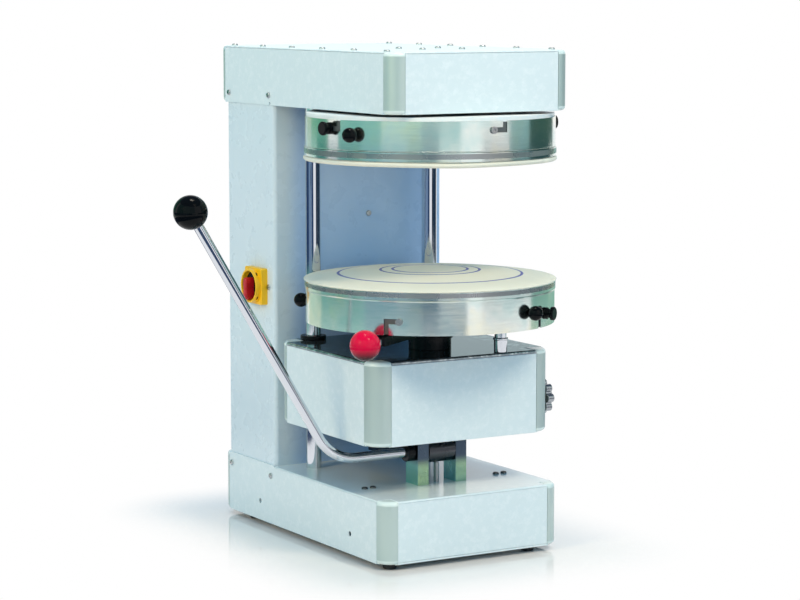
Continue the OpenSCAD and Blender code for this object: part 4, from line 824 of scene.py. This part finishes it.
def canvas(name, printed):
    """Woven cream cloth with a dusting of flour, and the gauge rings where they are printed."""
    made, tree, shader, place = finish(name, roughness=0.86)
    centred = about_axis(tree, place)
    threads = []
    for way in ("X", "Y"):
        thread = put(tree, "ShaderNodeTexWave", wave_type="BANDS", bands_direction=way, Scale=thread_scale,
                     Distortion=0.4)
        tree.links.new(centred, thread.inputs["Vector"])
        threads.append(thread.outputs["Fac"])
    weave = reckon(tree, "MULTIPLY", *threads)
    fuzz = use_group(tree, skin, centred, Grain=420.0)
    flour = use_group(tree, marks, centred)
    colour = two_tones(tree, fuzz.outputs["Shade"], cream_dark, cream_light)
    dusted = reckon(tree, "MULTIPLY", flour.outputs["Mark"], flour_share)
    colour = blend_in(tree, dusted, colour, flour_white)
    if printed:
        reach = vectored(tree, "LENGTH", vectored(tree, "MULTIPLY", centred, (1.0, 1.0, 0.0)))
        patchy = reckon(tree, "MULTIPLY_ADD", fuzz.outputs["Peel"], ink_change, ink_least)
        lines = 0.0
        for radius in ring_radii:
            aside = reckon(tree, "ABSOLUTE", reckon(tree, "SUBTRACT", reach, radius))
            lines = reckon(tree, "MAXIMUM", lines, reckon(tree, "LESS_THAN", aside, ring_line))
        ink = reckon(tree, "MINIMUM", reckon(tree, "MULTIPLY", lines, patchy), 1.0)
        colour = blend_in(tree, ink, colour, ring_ink)
    tree.links.new(colour, shader.inputs["Base Color"])
    relief(tree, reckon(tree, "ADD", weave, fuzz.outputs["Peel"]), shader, depth=0.00018)
    shader.inputs["Sheen Weight"].default_value = 0.15
    return made


def stretched_cloth(node, name, profile, material, unevenness):
    """Turns a cloth cover to its stretched form, makes it uneven and gives it its thickness."""
    bm = bmesh.new()
    turned(bm, profile, round_steps)
    bmesh.ops.remove_doubles(bm, verts=bm.verts, dist=merge_within)
    for vert in bm.verts:
        vert.co += unevenness(vert.co - axis)
    piece = add_piece(bm, name, material, "cream_cloth", body_of[node], node, flat=False)
    wall = piece.modifiers.new("cloth_thickness", "SOLIDIFY")
    wall.thickness = cloth_thick
    wall.offset = -1.0


lower_low, lower_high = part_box("lower_cloth")
plate_r = (lower_high[0] - lower_low[0]) / 2
cloth_clear = 0.0002
end_clear = 0.0004
skirt_in = 0.0037
skirt_r = plate_r - skirt_in
roll = 0.0013
flat_r = plate_r - cloth_clear - roll
rim_above_strap = 0.0030
crown_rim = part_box("lower_strap")[1][2] + rim_above_strap
crown = lower_high[2] - end_clear - crown_rim
crown_steps = 24
crown_waves, crown_wave_lift = 14.0, 0.00022
calm_middle = 0.05
pulls, pull_depth = 46.0, 0.00012
lower_profile = [(flat_r * i / crown_steps, crown_rim + crown * (1.0 - (i / crown_steps) ** 2))
                 for i in range(crown_steps + 1)]
for angle in (30, 60, 90, 120, 150, 180):
    a = math.radians(angle)
    lower_profile.append((flat_r + roll * math.sin(a), crown_rim - roll * (1 - math.cos(a))))
lower_profile += [(skirt_r, crown_rim - 2 * roll - cloth_clear), (skirt_r, lower_low[2] + end_clear)]


def lower_unevenness(point):
    """Faint waves over the crown, and the pull of the tuck round the rim."""
    reach = math.hypot(point.x, point.y)
    lift = noise.noise(point * crown_waves) * crown_wave_lift * min(1.0, reach / calm_middle)
    pull = math.cos(math.atan2(point.y, point.x) * pulls) * pull_depth if reach > flat_r else 0.0
    outward = Vector((point.x, point.y, 0.0)) * (pull / max(reach, merge_within))
    return outward + Vector((0.0, 0.0, lift - cloth_clear))


stretched_cloth("lower_cloth", "lower_cover_cloth", lower_profile, canvas("ringed_canvas", True),
                lower_unevenness)

upper_low, upper_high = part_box("upper_cloth")
pad_r = 0.0036
pad_clear = 0.0003
pad_face = upper_low[2] + pad_clear
pad_z = upper_low[2] + pad_r + pad_clear
pad_at = plate_r - pad_r - cloth_clear
pad_tail = 0.0006
pad_steps = 12
sag_at = math.radians(-109.0)
sag_spread, sag_depth = 16.0, 0.0011
bulges, bulge_depth, bulge_sunk = 22.0, 0.0005, 0.0003
bulge_from = 0.9
upper_profile = [(pad_at * i / pad_steps, pad_face) for i in range(pad_steps + 1)]
for angle in (20, 40, 60, 80, 100, 120, 140, 155):
    a = math.radians(angle)
    upper_profile.append((pad_at + pad_r * math.sin(a), pad_z - pad_r * math.cos(a)))
upper_profile += [(skirt_r, pad_z + pad_r), (skirt_r, upper_high[2] - pad_tail)]


def upper_unevenness(point):
    """Soft bulges round the padded rim, and its sag at the front."""
    reach = math.hypot(point.x, point.y)
    if reach < pad_at * bulge_from or point.z > pad_z + pad_r:
        return Vector((0.0, 0.0, 0.0))
    turn = math.atan2(point.y, point.x) - sag_at
    turn = math.degrees(math.atan2(math.sin(turn), math.cos(turn)))
    droop = sag_depth * math.exp(-(turn / sag_spread) ** 2)
    flat = Vector((point.x, point.y, 0.0))
    bulge = noise.noise(flat * bulges) * bulge_depth
    return flat * ((bulge - bulge_sunk) / reach) + Vector((0.0, 0.0, -droop))


stretched_cloth("upper_cloth", "upper_cover_cloth", upper_profile, canvas("plain_canvas", False),
                upper_unevenness)


# Head box: coated panels round the drive, closed by a screwed cover.
# The cover's outer edge is rounded over.
for panel in ("head_front_panel", "head_side_panels", "head_rear_panel"):
    rounded(panel, panel_paint, "panel_paint", radius=0.0009)
rounded("head_top_cover", panel_paint, "panel_paint", radius=0.0016, where=on_top("head_top_cover"))


# Panel screws: bright pan heads with a cross recess, driven through the sheet.
# They hold the side panels, the rear cover and the switch plate.
def island_boxes(node):
    """The lowest and highest corners of each separate solid in a CAD node."""
    bm = bmesh.new()
    bm.from_mesh(frame["nodes"][node].data)
    bmesh.ops.remove_doubles(bm, verts=bm.verts, dist=merge_within)
    waiting = set(bm.verts)
    boxes = []
    while waiting:
        edge_of_island = [waiting.pop()]
        island = []
        while edge_of_island:
            vert = edge_of_island.pop()
            island.append(vert.co.copy())
            for edge in vert.link_edges:
                other = edge.other_vert(vert)
                if other in waiting:
                    waiting.remove(other)
                    edge_of_island.append(other)
        boxes.append((Vector([min(co[i] for co in island) for i in range(3)]),
                      Vector([max(co[i] for co in island) for i in range(3)])))
    bm.free()
    return sorted(boxes, key=lambda box: tuple(box[0]))


def facing(direction):
    """A turn that lays a piece's z outwards, its y upwards and its x along the press."""
    out = Vector(direction)
    along = Vector((0.0, 0.0, 1.0)).cross(out)
    return Matrix((along, Vector((0.0, 0.0, 1.0)), out)).transposed().to_4x4()


screw_r = 0.00475
screw_recess = 0.0034
screw_arm = 0.0007
head_flat = 0.66
head_sides = 24
head_rings = ((0.86, 0.86), (0.97, 0.55), (1.0, 0.2), (1.0, 0.0))
recess_share = 0.72
recess_deep = 0.7


def pan_head(bm, matrix, radius, height):
    """A domed screw head with a cross recess, its foot at the matrix's place."""
    circle = bmesh.ops.create_circle(bm, segments=head_sides, radius=radius * head_flat)["verts"]
    bmesh.ops.translate(bm, verts=circle, vec=(0.0, 0.0, height))
    rim_edges = list(dict.fromkeys(edge for vert in circle for edge in vert.link_edges))
    arm, reach = screw_arm, screw_recess * radius / screw_r
    corners = [(arm, arm), (arm, reach), (-arm, reach), (-arm, arm), (-reach, arm), (-reach, -arm),
               (-arm, -arm), (-arm, -reach), (arm, -reach), (arm, -arm), (reach, -arm), (reach, arm)]
    cross = [bm.verts.new((x * recess_share, y * recess_share, height)) for x, y in corners]
    cross_edges = [bm.edges.new((cross[i - 1], cross[i])) for i in range(len(cross))]
    bmesh.ops.triangle_fill(bm, edges=rim_edges + cross_edges, use_beauty=True, normal=(0.0, 0.0, 1.0))
    deep = bmesh.ops.extrude_edge_only(bm, edges=cross_edges)["geom"]
    floor_verts = [g for g in deep if isinstance(g, bmesh.types.BMVert)]
    bmesh.ops.translate(bm, verts=floor_verts, vec=(0.0, 0.0, -height * recess_deep))
    floor_edges = [g for g in deep if isinstance(g, bmesh.types.BMEdge)]
    bmesh.ops.triangle_fill(bm, edges=floor_edges, use_beauty=True, normal=(0.0, 0.0, 1.0))
    made = set(circle) | set(cross) | set(floor_verts)
    ring = rim_edges
    for share, level in head_rings:
        grown = bmesh.ops.extrude_edge_only(bm, edges=ring)["geom"]
        ring_verts = [g for g in grown if isinstance(g, bmesh.types.BMVert)]
        ring = [g for g in grown if isinstance(g, bmesh.types.BMEdge)
                and all(vert in ring_verts for vert in g.verts)]
        for vert in ring_verts:
            flat = Vector((vert.co.x, vert.co.y, 0.0)).normalized() * radius * share
            vert.co = flat + Vector((0.0, 0.0, height * level))
        made |= set(ring_verts)
    bmesh.ops.transform(bm, verts=list(made), matrix=matrix)


screw_height = 0.0028
round_within = 0.0005
rear_behind_middle = 0.2
rear_from = (cad_low[1] + cad_high[1]) / 2 + rear_behind_middle
turn_at, turn_per_metre = 37.0, 900.0
screw_bm = bmesh.new()
for low, high in island_boxes("panel_screws"):
    size = high - low
    foot = (low + high) / 2
    along = 0 if abs(size.y - size.z) < round_within else 1
    far_side = foot[along] > (axis.x if along == 0 else rear_from)
    outward = Vector((0.0, 0.0, 0.0))
    outward[along] = 1.0 if far_side else -1.0
    foot[along] = (high[along] - screw_height) if far_side else (low[along] + screw_height)
    turn = Matrix.Rotation(math.radians(turn_at + turn_per_metre * foot.z), 4, "Z")
    pan_head(screw_bm, Matrix.Translation(foot) @ facing(outward) @ turn, size.z / 2, screw_height)
screw_steel = metal("screw_steel", (0.58, 0.60, 0.62), (0.46, 0.48, 0.50), gloss=(0.18, 0.30), grain=900.0,
                    depth=0.00002)
add_piece(screw_bm, "panel_screw_heads", screw_steel, "chrome_steel", "frame", "panel_screws", flat=False)


# Cover screws: low round heads, blackened in the base top and bright zinc in the head cover.
# The heads stand on the sheet and hide the threads below it.
half_height = cad_high[2] / 2
black_low, black_high, bright_zinc = (0.07, 0.08, 0.09), (0.16, 0.17, 0.18), (0.62, 0.68, 0.72)
cover_head = 0.0034
cover_turn_at = 23.0
cover_steel, tree, cover_shader, cover_place = finish("cover_screw", roughness=0.30, metallic=0.9)
cover_grain = use_group(tree, skin, cover_place, Grain=900.0).outputs["Peel"]
cover_black = two_tones(tree, cover_grain, black_low, black_high)
cover_bright = reckon(tree, "GREATER_THAN", coordinate(tree, cover_place, "Z"), half_height)
cover_tone = blend_in(tree, cover_bright, cover_black, bright_zinc)
tree.links.new(cover_tone, cover_shader.inputs["Base Color"])
relief(tree, cover_grain, cover_shader, depth=0.00003)
cover_bm = bmesh.new()
for low, high in island_boxes("socket_screws"):
    sheet = "head_top_cover" if high.z > half_height else "base_top_plate"
    foot = Vector(((low.x + high.x) / 2, (low.y + high.y) / 2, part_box(sheet)[1][2]))
    turn = Matrix.Rotation(math.radians(cover_turn_at + turn_per_metre * foot.x), 4, "Z")
    head_height = min(high.z - foot.z, cover_head)
    pan_head(cover_bm, Matrix.Translation(foot) @ turn, (high.x - low.x) / 2, head_height)
add_piece(cover_bm, "cover_screw_heads", cover_steel, "black_screw", "frame", "socket_screws", flat=False)


# Switch: yellow moulded body with a square plate and a round collar, screwed to the casing side.
# A black disc turns inside the collar and carries the red grip.
yellow_plastic = coated("yellow_plastic", (1.0, 0.55, 0.004), (0.97, 0.52, 0.003), gloss=(0.28, 0.36),
                        grain=900.0, depth=0.00001, worn=(1.0, 0.66, 0.05))[0]
red_handle = coated("red_handle", (0.56, 0.006, 0.014), (0.50, 0.004, 0.012), gloss=(0.26, 0.34),
                    grain=900.0, depth=0.00001)[0]
switch_low, switch_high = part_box("switch_body")
casing_side = casing_low[0]
switch_centre = Vector((casing_side, (switch_low[1] + switch_high[1]) / 2,
                        (switch_low[2] + switch_high[2]) / 2))
switch_place = Matrix.Translation(switch_centre) @ facing((-1.0, 0.0, 0.0))
plate_half = (switch_high[2] - switch_low[2]) / 2
plate_corner = 0.004
plate_thick = 0.011
collar_out = 0.028
collar_in = 0.0245
collar_top = casing_side - switch_low[0]


def rounded_square(half, corner, steps=6):
    """Points round a square with arcs at its corners."""
    points = []
    for quarter in range(4):
        for step in range(steps + 1):
            turn = math.radians(90.0 * quarter + 90.0 * step / steps)
            middle_x = (half - corner) * (1 if quarter in (0, 3) else -1)
            middle_y = (half - corner) * (1 if quarter in (0, 1) else -1)
            points.append((middle_x + corner * math.cos(turn), middle_y + corner * math.sin(turn)))
    return points


def slab(bm, outline, low, high, rounding, steps=3):
    """A flat outline grown to a slab with a rounded upper edge."""
    face = bm.faces.new([bm.verts.new((x, y, low)) for x, y in outline])
    grown = bmesh.ops.extrude_face_region(bm, geom=[face], use_keep_orig=True)["geom"]
    top = [g for g in grown if isinstance(g, bmesh.types.BMVert)]
    bmesh.ops.translate(bm, verts=top, vec=(0.0, 0.0, high - low))
    rim_edges = [edge for edge in bm.edges if all(vert in top for vert in edge.verts)]
    bmesh.ops.bevel(bm, geom=rim_edges, offset=rounding, segments=steps, profile=0.5, affect="EDGES",
                    material=-1, clamp_overlap=True)


plate_edge = 0.0012
hole_low, hole_high = plate_thick + 0.0022, plate_thick + 0.0044
hole_from, hole_to = 41.0, 56.0
hole_wall, hole_deep = 0.0002, 0.0012
outer_within = 0.0005
collar_edge, edge_near, edge_far = 0.001, 0.0003, 0.0004
collar_foot = 0.0005
collar_floor = 0.004
collar_steps = 72
switch_bm = bmesh.new()
slab(switch_bm, rounded_square(plate_half, plate_corner), 0.0, plate_thick, plate_edge)
collar_profile = [(collar_out, plate_thick - collar_foot), (collar_out, hole_low), (collar_out, hole_high),
                  (collar_out, collar_top - collar_edge), (collar_out - edge_far, collar_top - edge_near),
                  (collar_out - collar_edge, collar_top), (collar_in + collar_edge, collar_top),
                  (collar_in + edge_near, collar_top - edge_far), (collar_in, collar_top - collar_edge),
                  (collar_in, collar_floor)]
collar_points = [switch_bm.verts.new((r, 0.0, z)) for r, z in collar_profile]
collar_lines = [switch_bm.edges.new(pair) for pair in zip(collar_points, collar_points[1:])]
bmesh.ops.spin(switch_bm, geom=collar_points + collar_lines, cent=(0.0, 0.0, 0.0), axis=(0.0, 0.0, 1.0),
               angle=2 * math.pi, steps=collar_steps, use_merge=True)
bmesh.ops.remove_doubles(switch_bm, verts=switch_bm.verts, dist=merge_within)
bmesh.ops.recalc_face_normals(switch_bm, faces=switch_bm.faces)
lock_holes = []
for face in switch_bm.faces:
    spot = face.calc_center_median()
    around = math.degrees(math.atan2(spot.y, spot.x)) % 90.0
    outside = math.hypot(spot.x, spot.y) > collar_out - outer_within
    if outside and hole_low < spot.z < hole_high and hole_from < around < hole_to:
        lock_holes.append(face)
lock_walls = bmesh.ops.inset_region(switch_bm, faces=lock_holes, thickness=hole_wall, depth=-hole_deep,
                                    use_even_offset=True)
for face in lock_holes + lock_walls["faces"]:
    face.material_index = 1
bmesh.ops.transform(switch_bm, verts=switch_bm.verts, matrix=switch_place)
switch = add_piece(switch_bm, "switch_collar", yellow_plastic, "yellow_plastic", "frame", "switch_body")
switch.data.materials.append(black_nylon)

handle_low, handle_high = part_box("switch_handle")
disc_r = (handle_high[1] - handle_low[1]) / 2
disc_low, disc_thick = 0.0043, 0.008
disc_high = disc_low + disc_thick
disc_steps = 64
disc_edge = 0.0010
grip_high = casing_side - handle_low[0]
grip_half = 0.0185
grip_down = 0.0045
grip_lobe = 0.0060
grip_waist = 0.0044
grip_sunk = 0.001
grip_edge = 0.0022
grip_steps = 24
disc_bm = bmesh.new()
disc_turns = [2 * math.pi * i / disc_steps for i in range(disc_steps)]
disc_outline = [(disc_r * math.cos(turn), disc_r * math.sin(turn)) for turn in disc_turns]
slab(disc_bm, disc_outline, disc_low, disc_high, disc_edge)
bmesh.ops.transform(disc_bm, verts=disc_bm.verts, matrix=switch_place)
add_piece(disc_bm, "switch_disc", black_knob, "black_nylon", "handle")
grip_bm = bmesh.new()
grip_side = []
for step in range(grip_steps + 1):
    along_grip = -1.0 + 2.0 * step / grip_steps
    waist = grip_waist + (grip_lobe - grip_waist) * math.sin(math.pi * abs(along_grip)) ** 2
    end_round = math.sqrt(max(0.0, 1.0 - abs(along_grip) ** 6))
    half_wide = (waist + (grip_lobe - waist) * abs(along_grip)) * end_round
    grip_side.append((half_wide, grip_half * along_grip - grip_down))
grip_outline = grip_side + [(-x, y) for x, y in reversed(grip_side[1:-1])]
slab(grip_bm, grip_outline, disc_high - grip_sunk, grip_high, grip_edge, steps=4)
bmesh.ops.transform(grip_bm, verts=grip_bm.verts, matrix=switch_place)
add_piece(grip_bm, "switch_grip", red_handle, "red_handle", "handle", "switch_handle")


# Side knob: lobed hand knob, die cast and chromed, on a stud through the right carriage panel.
# The lobes are rounded over on the outer face.
# A darker, rougher chrome than the polished parts.
dark_chrome = metal("dark_chrome", (0.42, 0.45, 0.48), (0.30, 0.33, 0.36), gloss=(0.10, 0.22), grain=300.0,
                    depth=0.00002)
rounded("side_knob", dark_chrome, "chrome_steel", radius=0.0026, steps=4)
